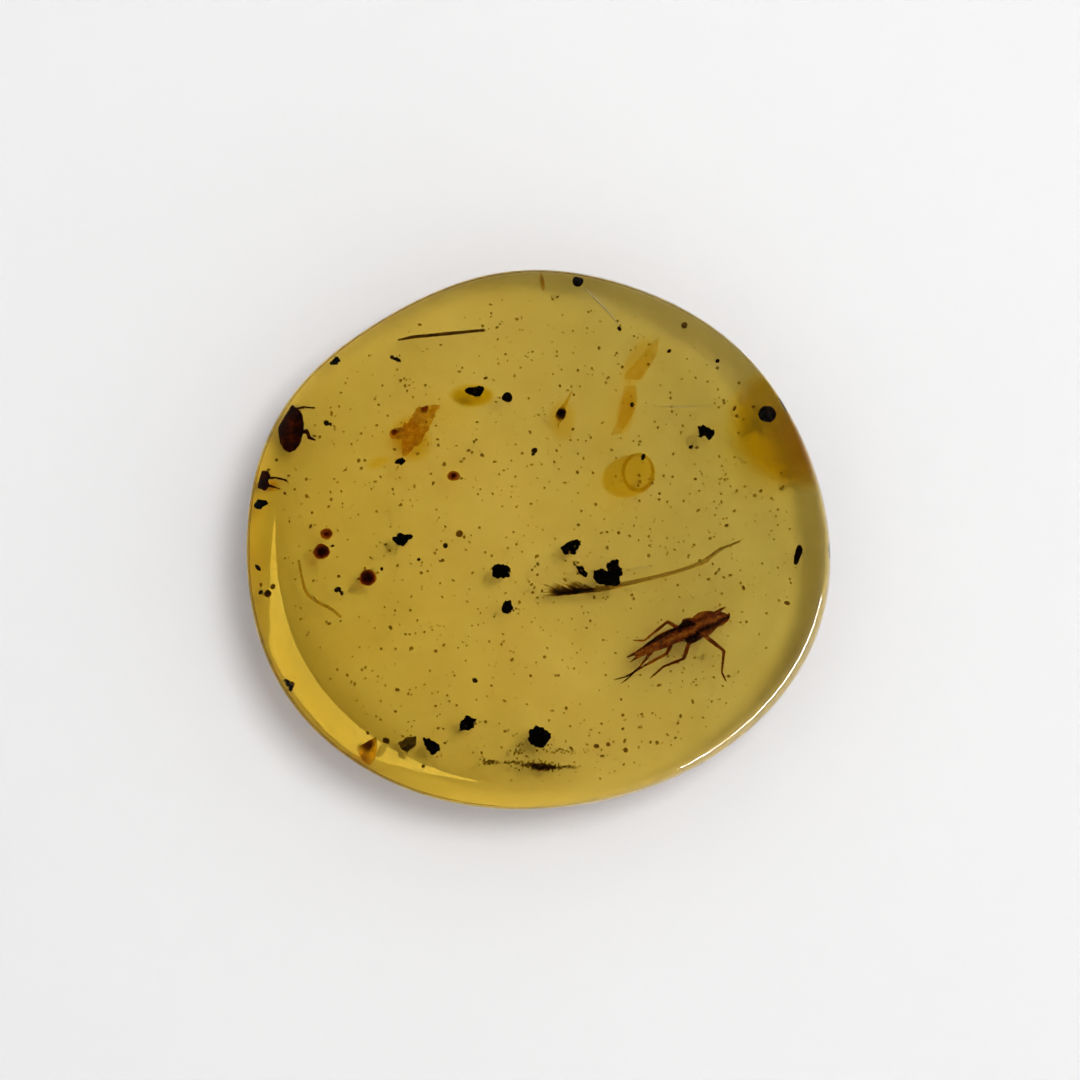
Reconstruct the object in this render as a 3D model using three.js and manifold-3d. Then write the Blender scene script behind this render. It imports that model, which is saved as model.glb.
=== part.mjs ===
// A polished, rounded slab of clear golden amber. A slender winged insect, a beetle, a torn midge and
// scraps of plants lie sealed inside it. The slab is parted level with its rim, so that each thing
// inside lies in its own pocket, open at the parting. Millimetres, +Z up. Heights are measured from
// the parting, and the whole is lifted at the end, so that the flat foot of the slab is on Z = 0.
import * as THREE from "three";
import { mergeVertices } from "three/addons/utils/BufferGeometryUtils.js";
import Module from "manifold-3d";

const wasm = await Module();
wasm.setup();

// The slab

// Distance from the middle to the rim, every 22.5 degrees anticlockwise from +X.
const RIM_RADII = [
  14.93, 14.44, 14.13, 13.81, 13.83, 13.79, 14.15, 14.86,
  15.01, 15.24, 14.96, 14.3, 13.87, 13.96, 14.51, 15.08,
];
const SLAB_THICKNESS = 5.6;
const RIM_HEIGHT = 2.7; // the slab is widest here, and parted here
const CROWN = 0.1; // how much higher the top is in its middle than at its shoulder
const NARROW_SHOULDER = 0.3; // from the rim in to the top's face, over most of the rim
const BROAD_SHOULDER = 1; // and where the edge is polished rounder
const BROAD_SIDE = -0.6; // direction of the broadest shoulder, in radians
const FOOT_SHOULDER = 0.15; // from the rim in to the foot
const SQUARENESS = 3; // the exponent of a shoulder's superellipse: 2 is plainly round, more is squarer
const RIM_STEPS = 64;
const SHOULDER_STEPS = 6;

// The pockets

const WALL = 0.12; // least amber between a pocket and the outside
const CLEARANCE = 0.12; // between a thing and its pocket
const REST_GAP = 0.1; // between a thing and the lower half
const BELOW = 2; // how far a pocket's walls are drawn down, to well below the parting

// Colours

const AMBER = new THREE.MeshStandardMaterial({
  color: 0xb8943c,
  roughness: 0.08,
  transparent: true,
  opacity: 0.5,
});
const CHITIN = new THREE.MeshStandardMaterial({ color: 0x6b3410, roughness: 0.45 });
const DARK_CHITIN = new THREE.MeshStandardMaterial({ color: 0x2c1006, roughness: 0.3 });
const CHARRED = new THREE.MeshStandardMaterial({ color: 0x0c0908, roughness: 0.8 });
const RESIN = new THREE.MeshStandardMaterial({ color: 0x2e1d0a, roughness: 0.5 });
const STEM = new THREE.MeshStandardMaterial({ color: 0x3f2a0e, roughness: 0.7 });
const SCRAP = new THREE.MeshStandardMaterial({ color: 0xa0680c, roughness: 0.6 });

// Solids

/** A mesh geometry as a manifold-3d solid. */
function solidOf(geometry) {
  const bare = geometry.clone();
  bare.deleteAttribute("normal");
  bare.deleteAttribute("uv");
  const merged = mergeVertices(bare, 1e-4);
  return new wasm.Manifold(
    new wasm.Mesh({
      numProp: 3,
      vertProperties: new Float32Array(merged.attributes.position.array),
      triVerts: new Uint32Array(merged.index.array),
    }),
  );
}

/** A manifold-3d solid as a mesh geometry with flat faces. */
function geometryOf(solid) {
  const mesh = solid.getMesh();
  const positions = new Float32Array(mesh.numVert * 3);
  for (let i = 0; i < mesh.numVert; i++) {
    positions.set(mesh.vertProperties.subarray(i * mesh.numProp, i * mesh.numProp + 3), i * 3);
  }
  const geometry = new THREE.BufferGeometry();
  geometry.setAttribute("position", new THREE.BufferAttribute(positions, 3));
  geometry.setIndex(new THREE.BufferAttribute(new Uint32Array(mesh.triVerts), 1));
  const flat = geometry.toNonIndexed();
  flat.computeVertexNormals();
  return flat;
}

/** A closed skin over rings of equal length, anticlockwise seen from the last, with a point at each end. */
function loft(rings, firstPoint, lastPoint) {
  const count = rings[0].length;
  const positions = [firstPoint, ...rings.flat(), lastPoint].flatMap((p) => [p.x, p.y, p.z]);
  const last = rings.length * count + 1;
  const at = (ring, i) => 1 + ring * count + (i % count);
  const faces = [];
  for (let i = 0; i < count; i++) {
    faces.push(0, at(0, i + 1), at(0, i));
    faces.push(last, at(rings.length - 1, i), at(rings.length - 1, i + 1));
    for (let ring = 0; ring + 1 < rings.length; ring++) {
      faces.push(at(ring, i), at(ring, i + 1), at(ring + 1, i + 1));
      faces.push(at(ring, i), at(ring + 1, i + 1), at(ring + 1, i));
    }
  }
  const geometry = new THREE.BufferGeometry();
  geometry.setAttribute("position", new THREE.Float32BufferAttribute(positions, 3));
  geometry.setIndex(faces);
  return geometry;
}

const point = (x, y, z) => new THREE.Vector3(x, y, z);

const RIM = new THREE.CatmullRomCurve3(
  RIM_RADII.map((radius, i) => {
    const turn = (i / RIM_RADII.length) * 2 * Math.PI;
    return point(radius * Math.cos(turn), radius * Math.sin(turn), 0);
  }),
  true,
)
  .getPoints(RIM_STEPS)
  .slice(0, RIM_STEPS);

/** How far the rounded edge reaches in from a point of the rim. */
function shoulderWidth(p, isTop) {
  if (!isTop) return FOOT_SHOULDER;
  const near = Math.max(Math.cos(Math.atan2(p.y, p.x) - BROAD_SIDE), 0);
  return NARROW_SHOULDER + (BROAD_SHOULDER - NARROW_SHOULDER) * near * near;
}

/** The slab above or below its rim, with the rim and the far face taken in by inset. */
function slabHalf(isTop, inset = 0) {
  const rise = isTop ? SLAB_THICKNESS - RIM_HEIGHT - inset : RIM_HEIGHT;
  const edge = isTop ? rise - CROWN : rise;
  const side = isTop ? 1 : -1;
  const rings = [];
  for (let step = 0; step <= SHOULDER_STEPS; step++) {
    const turn = ((step / SHOULDER_STEPS) * Math.PI) / 2;
    const inward = 1 - Math.cos(turn) ** (2 / SQUARENESS);
    const up = Math.sin(turn) ** (2 / SQUARENESS) * edge;
    rings.push(
      RIM.map((p) => {
        const out = 1 - (inset + shoulderWidth(p, isTop) * inward) / p.length();
        return point(p.x * out, p.y * out, side * up);
      }),
    );
  }
  const middle = point(0, 0, 0);
  const face = point(0, 0, side * rise);
  return solidOf(isTop ? loft(rings, middle, face) : loft(rings.reverse(), face, middle));
}

// Forms of the things inside. With some room, each gives the pocket that clears the thing by as much.

/** A ring of points round middle, in the plane across heading, half its width and height given. */
function ringAcross(middle, heading, wide, tall, sides) {
  const along = heading.clone().normalize();
  const side = new THREE.Vector3().crossVectors(point(0, 0, 1), along).normalize();
  const up = new THREE.Vector3().crossVectors(along, side);
  return Array.from({ length: sides }, (_, i) => {
    const turn = (i / sides) * 2 * Math.PI;
    return middle
      .clone()
      .addScaledVector(side, wide * Math.cos(turn))
      .addScaledVector(up, tall * Math.sin(turn));
  });
}

/** The direction of a route at each of its points. */
function headingsOf(route) {
  const last = route.length - 1;
  return route.map((_, i) => route[Math.min(i + 1, last)].clone().sub(route[Math.max(i - 1, 0)]));
}

/** The pocket over a route, with upright walls, clear of half widths and heights by room. */
function trench(points, wides, talls, room) {
  const route = points.map((p) => p.clone());
  const headings = headingsOf(route).map((heading) => heading.setZ(0).normalize());
  route[0].addScaledVector(headings[0], -room);
  route.at(-1).addScaledVector(headings.at(-1), room);
  const rings = route.map(({ x, y, z }, i) => {
    const side = new THREE.Vector2(-headings[i].y, headings[i].x).multiplyScalar(wides[i] + room);
    const [low, high] = [z - BELOW, z + talls[i] + room];
    return [
      point(x + side.x, y + side.y, low),
      point(x + side.x, y + side.y, high),
      point(x - side.x, y - side.y, high),
      point(x - side.x, y - side.y, low),
    ];
  });
  return solidOf(loft(rings, route[0], route.at(-1)));
}

/** A tapering limb or stem through points, with a radius at each. */
function limb(points, radii, room = 0, flatness = 1) {
  const talls = radii.map((radius) => radius * flatness);
  if (room) return trench(points, radii, talls, room);
  const headings = headingsOf(points);
  const rings = points.map((p, i) => ringAcross(p, headings[i], radii[i], talls[i], 6));
  return solidOf(loft(rings, points[0].clone(), points.at(-1).clone()));
}

/** A smooth limb through a few points, with the radii spread along it. */
function smoothLimb(points, radii, steps, room) {
  const route = new THREE.CatmullRomCurve3(points).getPoints(steps);
  const spread = route.map((_, i) => {
    const along = (i / steps) * (radii.length - 1);
    const before = Math.min(Math.floor(along), radii.length - 2);
    return THREE.MathUtils.lerp(radii[before], radii[before + 1], along - before);
  });
  return limb(route, spread, room);
}

/** A body along +X through stations of along, left, half width and half height, pointed at both ends. */
function body(stations, firstAlong, lastAlong, room) {
  const route = stations.map(([along, left]) => point(along, left, 0));
  const wides = stations.map((station) => station[2]);
  const talls = stations.map((station) => station[3]);
  if (room) return trench(route, wides, talls, room + 0.1);
  const rings = route.map((p, i) => ringAcross(p, point(1, 0, 0), wides[i], talls[i], 10));
  return solidOf(loft(rings, route[0].clone().setX(firstAlong), route.at(-1).clone().setX(lastAlong)));
}

/** A plan outline, anticlockwise, with its edges moved out. */
function grown(outline, by) {
  const edgeNormal = (from, to) => new THREE.Vector2(to[1] - from[1], from[0] - to[0]).normalize();
  return outline.map((corner, i) => {
    const before = edgeNormal(outline.at(i - 1), corner);
    const out = before.add(edgeNormal(corner, outline[(i + 1) % outline.length]));
    out.multiplyScalar((2 * by) / Math.max(out.lengthSq(), 1));
    return [corner[0] + out.x, corner[1] + out.y];
  });
}

/** An upright prism of the given outline. */
function prism(outline, low, high) {
  const shape = new THREE.Shape(outline.map(([x, y]) => new THREE.Vector2(x, y)));
  return new THREE.ExtrudeGeometry(shape, { depth: high - low, bevelEnabled: false }).translate(0, 0, low);
}

/** A lump with the given plan outline, thinning above and below it, with its lowest point at Z = 0. */
function lump(outline, height, room = 0) {
  if (room) return prism(grown(outline, room), -BELOW, height + room);
  const ring = (share, up) => outline.map(([x, y]) => point(x * share, y * share, up * height));
  return loft(
    [ring(0.55, 0.08), ring(0.95, 0.3), ring(1, 0.65), ring(0.6, 0.95)],
    point(0, 0, 0),
    point(0, 0, height),
  );
}

/** An oval plan outline. */
function oval(wide, deep) {
  return Array.from({ length: 10 }, (_, i) => {
    const turn = (i / 10) * 2 * Math.PI;
    return [(wide / 2) * Math.cos(turn), (deep / 2) * Math.sin(turn)];
  });
}

/** A thin scrap with the given plan outline, arched in the middle, with its edge at Z = 0. */
function scrap(outline, thickness, arch, room = 0) {
  if (room) return prism(grown(outline, room), -BELOW, arch + thickness + room);
  const reach = Math.max(...outline.map(([x, y]) => Math.hypot(x, y)));
  const ring = (share, up) =>
    outline.map(([x, y]) => {
      const out = (share * Math.hypot(x, y)) / reach;
      return point(x * share, y * share, arch * (1 - out * out) + up);
    });
  const under = [ring(0.5, 0), ring(0.93, 0), ring(1, thickness / 2)];
  const over = [ring(0.93, thickness), ring(0.5, thickness)];
  return loft([...under, ...over], point(0, 0, arch), point(0, 0, arch + thickness));
}

/** A geometry turned about +Z, in radians, and laid over the parting, as a solid. */
function laid(geometry, [x, y], turn = 0) {
  return solidOf(geometry.rotateZ(turn).translate(x, y, REST_GAP));
}

const part = new THREE.Group();
const pockets = [];

const POCKET_LIMIT = slabHalf(true, WALL);
const THING_LIMIT = slabHalf(true, WALL + CLEARANCE);

/** A named thing in the amber, and its pocket. shape gives the thing, or the pocket for some room. */
function addThing(name, material, shape) {
  const mesh = new THREE.Mesh(geometryOf(shape(0).intersect(THING_LIMIT)), material);
  mesh.name = name;
  part.add(mesh);
  pockets.push(shape(CLEARANCE).intersect(POCKET_LIMIT));
}

// The winged insect. In its own frame it heads along +X from the tips of its wings, with +Y to its left.

const INSECT_PLACE = [4.55, -6.18, 0.9];
const INSECT_TURN = 0.443;
const INSECT_ENDS = [0.3, 5.66];
const INSECT_STATIONS = [
  [0.42, 0.09, 0.07, 0.05],
  [0.75, 0.12, 0.16, 0.12],
  [1.35, 0.14, 0.26, 0.19],
  [2.0, 0.17, 0.32, 0.25],
  [2.65, 0.14, 0.37, 0.3],
  [3.08, 0.09, 0.47, 0.36],
  [3.32, 0.05, 0.68, 0.42],
  [3.7, 0.02, 0.65, 0.44],
  [3.92, 0.02, 0.6, 0.42],
  [4.35, 0.04, 0.64, 0.42],
  [4.72, 0.04, 0.53, 0.36],
  [4.95, 0.0, 0.4, 0.3],
  [5.2, -0.08, 0.38, 0.28],
  [5.48, -0.12, 0.24, 0.2],
];
const LEG_RADII = [0.1, 0.085, 0.055, 0.04, 0.028];
// Each leg from hip to claw.
const INSECT_LEGS = {
  frontRight: [[4.0, -0.45, -0.15], [4.64, -1.66, -0.3], [4.07, -2.63, -0.5], [4.08, -3.15, -0.62]],
  middleRight: [[3.3, -0.45, -0.2], [2.62, -1.13, -0.35], [1.48, -1.08, -0.6], [0.65, -1.31, -0.75]],
  hindRight: [
    [2.45, -0.1, -0.15], [1.94, -0.53, -0.3], [0.5, -0.63, -0.55], [-0.5, -0.72, -0.65], [-1, -0.62, -0.7],
  ],
  hindLeft: [
    [1.5, 0.05, -0.1], [1, -0.24, -0.15], [0.38, -0.55, -0.25], [-0.45, -0.83, -0.35], [-0.84, -0.92, -0.4],
  ],
  middleLeft: [[3.05, 0.35, -0.1], [2.66, 0.93, -0.2], [1.17, 0.56, -0.4], [0.68, 0.8, -0.5]],
};
const WINGS = {
  left: [[1.3, 0.26, 0.06], [0.55, 0.17, 0.06], [0, 0.18, 0.06]],
  right: [[1.3, -0.04, 0.02], [0.55, -0.01, 0.02], [0, -0.12, 0.02]],
};
const WING_RADII = [0.12, 0.09, 0.03];
const FEELER_STUB = [[4.85, 0.22, 0.1], [5.3, 0.32, 0.12], [5.68, 0.35, 0.1]];
const JAW = [[5.15, -0.15, 0], [5.5, -0.18, 0], [5.7, -0.04, -0.02]];

function addInsect() {
  const points = (list) => list.map((p) => point(...p));
  addThing("winged_insect", CHITIN, (room) => {
    let whole = body(INSECT_STATIONS, ...INSECT_ENDS, room);
    for (const wing of Object.values(WINGS)) whole = whole.add(limb(points(wing), WING_RADII, room, 0.5));
    whole = whole.add(limb(points(FEELER_STUB), [0.13, 0.09, 0.03], room));
    whole = whole.add(limb(points(JAW), [0.2, 0.17, 0.05], room));
    for (const leg of Object.values(INSECT_LEGS)) whole = whole.add(limb(points(leg), LEG_RADII, room));
    return solidOf(geometryOf(whole).rotateZ(INSECT_TURN).translate(...INSECT_PLACE));
  });
}

// The beetle, cut off by the slab's edge on its left, with a feeler and a leg.

const BEETLE_PLACE = [-12.77, 5.7, 0.58];
const BEETLE_TURN = 1.5;
const BEETLE_ENDS = [-1.22, 1.2];
const BEETLE_STATIONS = [
  [-1.1, 0, 0.28, 0.2],
  [-0.8, 0, 0.5, 0.36],
  [-0.2, 0, 0.64, 0.46],
  [0.4, 0, 0.64, 0.44],
  [0.72, 0, 0.55, 0.36],
  [0.95, 0, 0.42, 0.3],
];
const BEETLE_FEELER = [point(-12.7, 6.7, 0.5), point(-12.1, 6.8, 0.35), point(-11.53, 6.77, 0.25)];
const BEETLE_LEG = [
  point(-12.5, 5.5, 0.4),
  point(-11.98, 5.58, 0.35),
  point(-11.85, 5.25, 0.3),
  point(-11.56, 5.14, 0.25),
];

function addBeetle() {
  addThing("beetle", DARK_CHITIN, (room) => {
    const shell = geometryOf(body(BEETLE_STATIONS, ...BEETLE_ENDS, room));
    return solidOf(shell.rotateZ(BEETLE_TURN).translate(...BEETLE_PLACE))
      .add(limb(BEETLE_FEELER, [0.07, 0.06, 0.04], room))
      .add(limb(BEETLE_LEG, [0.12, 0.14, 0.1, 0.05], room));
  });
}

// The torn midge at the slab's left edge, with what is left of its legs.

const MIDGE_PLACE = [-14.15, 3.05];
const MIDGE_OUTLINE = [
  [-0.35, -0.4], [0.05, -0.52], [0.32, -0.3], [0.22, 0], [0.36, 0.22], [0.2, 0.5], [-0.3, 0.5],
];
const MIDGE_UPPER_LEG = [
  point(-14.2, 3.15, 0.35),
  point(-13.6, 3.2, 0.3),
  point(-13.05, 3.08, 0.25),
  point(-12.9, 2.9, 0.2),
];
const MIDGE_LOWER_LEG = [point(-14.15, 2.9, 0.35), point(-13.75, 2.75, 0.28), point(-13.35, 2.62, 0.2)];

function addMidge() {
  addThing("torn_midge", DARK_CHITIN, (room) =>
    laid(lump(MIDGE_OUTLINE, 0.5, room), MIDGE_PLACE)
      .add(limb(MIDGE_UPPER_LEG, [0.09, 0.06, 0.05, 0.03], room))
      .add(limb(MIDGE_LOWER_LEG, [0.1, 0.07, 0.03], room)),
  );
}

// Plant things

const STICK = [
  point(-7.28, 10.27, 0.2),
  point(-6.6, 10.42, 0.22),
  point(-4.9, 10.6, 0.3),
  point(-2.85, 10.8, 0.36),
];
const HAIR = [
  point(-12.42, -1.05, 0.3),
  point(-12.26, -1.95, 0.28),
  point(-11.98, -2.78, 0.25),
  point(-11.35, -3.25, 0.25),
  point(-10.74, -3.55, 0.3),
  point(-10.26, -3.96, 0.35),
];

function addStickAndHair() {
  addThing("plant_stick", STEM, (room) => limb(STICK, [0.03, 0.065, 0.07, 0.055], room));
  addThing("curved_hair", STEM, (room) => smoothLimb(HAIR, [0.03, 0.05, 0.055, 0.04], 12, room));
}

// The frayed plume: a long bent stem, with a tuft of strands at its thick end.

const PLUME_HEIGHT = 0.3;
const PLUME_ROUTE = [
  [0.9, -2.84], [1.9, -2.68], [3.1, -2.52], [4.2, -2.3], [5.6, -1.98],
  [6.9, -1.66], [8.3, -1.18], [8.72, -0.9], [9.4, -0.42], [10.3, -0.07],
];
const PLUME_RADII = [0.07, 0.1, 0.09, 0.08, 0.075, 0.06, 0.07, 0.04, 0.03];
const STRAND_ROOT = [2.7, -2.57, 0];
const STRAND_TIPS = [
  [0.45, -2.86, 0], [0.62, -2.62, 0.08], [0.95, -2.42, -0.05], [1.3, -2.2, 0.06], [0.8, -3.0, -0.08],
];

function addPlume() {
  const at = ([x, y, up = 0]) => point(x, y, PLUME_HEIGHT + up);
  addThing("frayed_plume", STEM, (room) => {
    let whole = smoothLimb(PLUME_ROUTE.map(at), PLUME_RADII, 20, room);
    for (const tip of STRAND_TIPS) {
      const middle = at(tip).lerp(at(STRAND_ROOT), 0.45).add(point(0, 0.08, 0));
      whole = whole.add(limb([at(STRAND_ROOT), middle, at(tip)], [0.05, 0.1, 0.03], room));
    }
    return whole;
  });
}

// Thin scraps of leaf, bud and petal: place, thickness, arch, and plan outlines round the place.
const SCRAPS = {
  leaf_scrap: {
    place: [-6.3, 5.75],
    thickness: 0.16,
    arch: 0.16,
    outlines: [
      [
        [-0.62, 0], [-0.62, -0.85], [0.03, -0.98], [0.35, -0.45], [0.75, 0.3], [1.18, 1.25],
        [0.1, 1.12], [-0.3, 0.75],
      ],
      [
        [-0.55, -0.55], [-0.5, 0], [-1.13, 0.07], [-1.43, -0.18], [-1.37, -0.53],
      ],
    ],
  },
  upper_bud_scale: {
    place: [5.2, 9.1],
    thickness: 0.14,
    arch: 0.12,
    outlines: [
      [
        [-0.85, -0.6], [-0.85, -0.86], [0, -0.86], [0.38, -0.25], [0.85, 0.5], [0.92, 1.3], [0.4, 0.85],
        [-0.15, 0.2],
      ],
    ],
  },
  lower_bud_scale: {
    place: [4.45, 6.75],
    thickness: 0.14,
    arch: 0.12,
    outlines: [
      [
        [-0.1, 1.2], [-0.28, 0.2], [-0.52, -0.8], [-0.8, -1.4], [-0.25, -1.25], [0.36, -0.2],
        [0.55, 0.5], [0.48, 1.2],
      ],
    ],
  },
  petal_scrap: {
    place: [-8.85, -10.7],
    thickness: 0.16,
    arch: 0.1,
    outlines: [
      [
        [-0.45, 0.1], [-0.4, -0.35], [0.05, -0.95], [0.38, -0.5], [0.5, 0.1], [0.42, 0.6], [0.02, 0.4],
      ],
    ],
  },
};

function addScraps() {
  for (const [name, { place, thickness, arch, outlines }] of Object.entries(SCRAPS)) {
    addThing(name, SCRAP, (room) =>
      outlines
        .map((outline) => {
          const share = 1 / outline.length;
          const middle = outline.reduce(([x, y], p) => [x + p[0] * share, y + p[1] * share], [0, 0]);
          const centred = outline.map(([x, y]) => [x - middle[0], y - middle[1]]);
          return laid(scrap(centred, thickness, arch, room), [place[0] + middle[0], place[1] + middle[1]]);
        })
        .reduce((whole, more) => whole.add(more)),
    );
  }
}

const SEED_PLACE = [1.07, 6.47];
const SEED_TAIL = [point(1.07, 6.57, 0.32), point(1.37, 7.12, 0.28), point(1.67, 7.72, 0.25)];
const SEED_TIP = [point(1.07, 6.27, 0.32), point(0.97, 5.99, 0.28), point(0.92, 5.75, 0.25)];

function addSeed() {
  addThing("tailed_seed", DARK_CHITIN, (room) =>
    laid(lump(oval(0.52, 0.78), 0.45, room), SEED_PLACE, -0.45)
      .add(limb(SEED_TAIL, [0.12, 0.1, 0.03], room))
      .add(limb(SEED_TIP, [0.1, 0.06, 0.03], room)),
  );
}

// A ring of dried resin round a bubble.

const RING_PLACE = [5.05, 3.48];
const RING_SIZE = [1.54, 1.85];
const RING_TUBE = 0.1;

function addRing() {
  addThing("resin_ring", RESIN, (room) => {
    const [wide, deep] = RING_SIZE;
    if (room) {
      const plan = oval(wide + 3 * RING_TUBE, deep + 3 * RING_TUBE);
      return laid(lump(plan, 2 * RING_TUBE, room), RING_PLACE);
    }
    const ring = new THREE.TorusGeometry(wide / 2, RING_TUBE, 5, 16).scale(1, deep / wide, 1);
    return laid(ring.translate(0, 0, RING_TUBE), RING_PLACE);
  });
}

// Crumbs of charred wood: place, thickness, and plan outline round the place.
const CRUMBS = [
  {
    place: [-10.6, 9.22],
    thick: 0.4,
    plan: [[0.33, -0.02], [0.17, 0.26], [-0.37, -0.12], [-0.18, -0.24], [0.17, -0.22]],
  },
  {
    place: [-7.43, 9.31],
    thick: 0.18,
    plan: [[0.3, -0.2], [0.26, -0.04], [-0.1, 0.13], [-0.32, 0.15], [-0.2, 0.04], [0.05, -0.1]],
  },
  {
    place: [-14.3, 1.85],
    thick: 0.35,
    plan: [
      [0.38, 0.02], [0.07, 0.25], [-0.18, 0.19], [-0.41, -0.08], [-0.28, -0.18], [-0.03, -0.25],
      [0.22, -0.13],
    ],
  },
  {
    place: [-3.36, 7.68],
    thick: 0.35,
    plan: [[0.42, -0.13], [0.44, 0.2], [-0.22, 0.22], [-0.48, 0], [-0.27, -0.21], [0.23, -0.23]],
  },
  {
    place: [-7.2, 4.04],
    thick: 0.25,
    plan: [[0.31, 0.02], [0.12, 0.18], [-0.13, 0.12], [-0.31, -0.05], [-0.13, -0.13], [0.12, -0.15]],
  },
  {
    place: [-7.13, 0.05],
    thick: 0.45,
    plan: [
      [0.61, 0.12], [0.25, 0.25], [-0.15, 0.31], [-0.48, -0.05], [-0.25, -0.25], [0.05, -0.39],
      [0.31, 0],
    ],
  },
  {
    place: [-1.99, -1.6],
    thick: 0.5,
    plan: [
      [0.49, 0.08], [0.31, 0.31], [-0.25, 0.34], [-0.46, 0.23], [-0.46, -0.27], [-0.05, -0.38],
      [0.41, -0.27],
    ],
  },
  {
    place: [-1.68, -3.43],
    thick: 0.4,
    plan: [
      [0.28, 0.03], [0.15, 0.34], [-0.15, 0.28], [-0.28, -0.17], [-0.2, -0.33], [0.05, -0.35],
      [0.2, -0.25],
    ],
  },
  {
    place: [1.6, -0.4],
    thick: 0.4,
    plan: [
      [0.29, -0.05], [0.49, 0.16], [0.49, 0.36], [0.08, 0.43], [-0.2, 0.23], [-0.47, 0.02],
      [-0.4, -0.29], [-0.13, -0.36], [0.29, -0.29],
    ],
  },
  {
    place: [2.14, -1.6],
    thick: 0.22,
    plan: [
      [0.33, -0.16], [0.09, 0.12], [-0.18, 0.29], [-0.46, 0.46], [-0.12, -0.02], [0.09, -0.33],
      [0.26, -0.37],
    ],
  },
  {
    place: [3.45, -1.85],
    thick: 0.6,
    plan: [
      [0.64, 0], [0.85, 0.21], [0.71, 0.42], [0.5, 0.9], [0.05, 0.69], [0.02, 0.24], [-0.39, 0.35],
      [-0.7, 0.28], [-0.67, -0.14], [-0.46, -0.41], [0.3, -0.5], [0.64, -0.41],
    ],
  },
  {
    place: [8.52, 5.52],
    thick: 0.4,
    plan: [
      [0.4, -0.18], [0.4, 0.08], [0.16, 0.24], [-0.1, 0.35], [-0.37, 0.29], [-0.32, -0.02],
      [-0.42, -0.23], [-0.1, -0.18], [0.16, -0.34],
    ],
  },
  {
    place: [-5.55, -10.6],
    thick: 0.42,
    plan: [
      [0.36, -0.2], [0.36, 0.05], [-0.15, 0.36], [-0.51, 0.43], [-0.36, 0.1], [-0.25, -0.2],
      [-0.05, -0.46],
    ],
  },
  {
    place: [-3.72, -9.45],
    thick: 0.42,
    plan: [
      [0.31, 0], [0.49, 0.25], [0.25, 0.25], [-0.05, 0.41], [-0.36, 0.1], [-0.46, -0.41],
      [-0.25, -0.31], [0, -0.31], [0.33, -0.2],
    ],
  },
  {
    place: [-0.05, -10.12],
    thick: 0.55,
    plan: [
      [0.63, 0.16], [0.21, 0.42], [-0.1, 0.56], [-0.5, 0.26], [-0.55, -0.16], [-0.37, -0.42],
      [-0.05, -0.56], [0.32, -0.47], [0.53, -0.16],
    ],
  },
  {
    place: [-12.86, -7.45],
    thick: 0.3,
    plan: [[0.2, -0.25], [0.22, 0], [0, 0.28], [-0.22, 0.3], [-0.15, -0.05], [0, -0.28]],
  },
  {
    place: [-10.4, -2.56],
    thick: 0.2,
    plan: [[0.2, -0.22], [0.22, 0.12], [0.02, 0.1], [-0.35, -0.05], [-0.1, -0.02], [0.08, -0.08]],
  },
];

// Dark drops and grains: place, size in plan, and turn.
const DROPS = [
  { place: [-1.68, 7.32], size: [0.5, 0.46] },
  { place: [-4.45, 3.3], size: [0.62, 0.5] },
  { place: [-10.99, 0.32], size: [0.6, 0.54] },
  { place: [-11.22, -0.6], size: [0.82, 0.76] },
  { place: [-8.86, -1.94], size: [0.84, 0.78] },
  { place: [11.67, 6.47], size: [0.9, 0.82] },
  { place: [1.93, 13.25], size: [0.52, 0.52] },
  { place: [13.27, -0.76], size: [0.32, 1.05], turn: -0.24 },
];

const OLIVE_CHIP = {
  place: [-6.79, -10.5],
  thick: 0.3,
  plan: [[0.42, -0.1], [0.4, 0.38], [-0.05, 0.36], [-0.5, 0.12], [-0.38, -0.22], [0, -0.4]],
};

function addCrumbsAndDrops() {
  CRUMBS.forEach(({ place, thick, plan }, i) => {
    addThing(`charred_crumb_${i + 1}`, CHARRED, (room) => laid(lump(plan, thick, room), place));
  });
  DROPS.forEach(({ place, size, turn }, i) => {
    const drop = (room) => laid(lump(oval(...size), Math.min(...size) * 0.9, room), place, turn);
    addThing(`resin_drop_${i + 1}`, RESIN, drop);
  });
  const { place, thick, plan } = OLIVE_CHIP;
  addThing("olive_chip", RESIN, (room) => laid(lump(plan, thick, room), place));
}

/** The two halves of the slab, with every pocket cut out of the upper one. */
function addAmber() {
  const hollow = pockets.reduce((whole, pocket) => whole.add(pocket));
  const halves = {
    amber_upper: slabHalf(true).subtract(hollow),
    amber_lower: slabHalf(false),
  };
  for (const [name, half] of Object.entries(halves)) {
    const mesh = new THREE.Mesh(geometryOf(half), AMBER);
    mesh.name = name;
    part.add(mesh);
  }
}

addInsect();
addBeetle();
addMidge();
addStickAndHair();
addPlume();
addScraps();
addSeed();
addRing();
addCrumbsAndDrops();
addAmber();

// The origin is on the foot, under the middle of the slab's box.
const rimBox = new THREE.Box3().setFromPoints(RIM);
part.position.set(-(rimBox.min.x + rimBox.max.x) / 2, -(rimBox.min.y + rimBox.max.y) / 2, RIM_HEIGHT);

export default part;
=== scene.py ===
"""The looks of a polished slab of amber, with a winged insect and many smaller things sealed in it.

The slab lies on its flat foot at Z = 0. Sizes in the classes are in millimetres, and heights in the slab
are measured from its parting, level with the rim, where the things inside lie.
"""

import logging
import math
from dataclasses import dataclass, field
from enum import Enum

import bmesh
import bpy
import numpy as np
from bpy.types import Material, Node, NodeSocket, NodeTree, Object
from mathutils import Matrix, Vector, noise


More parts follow.
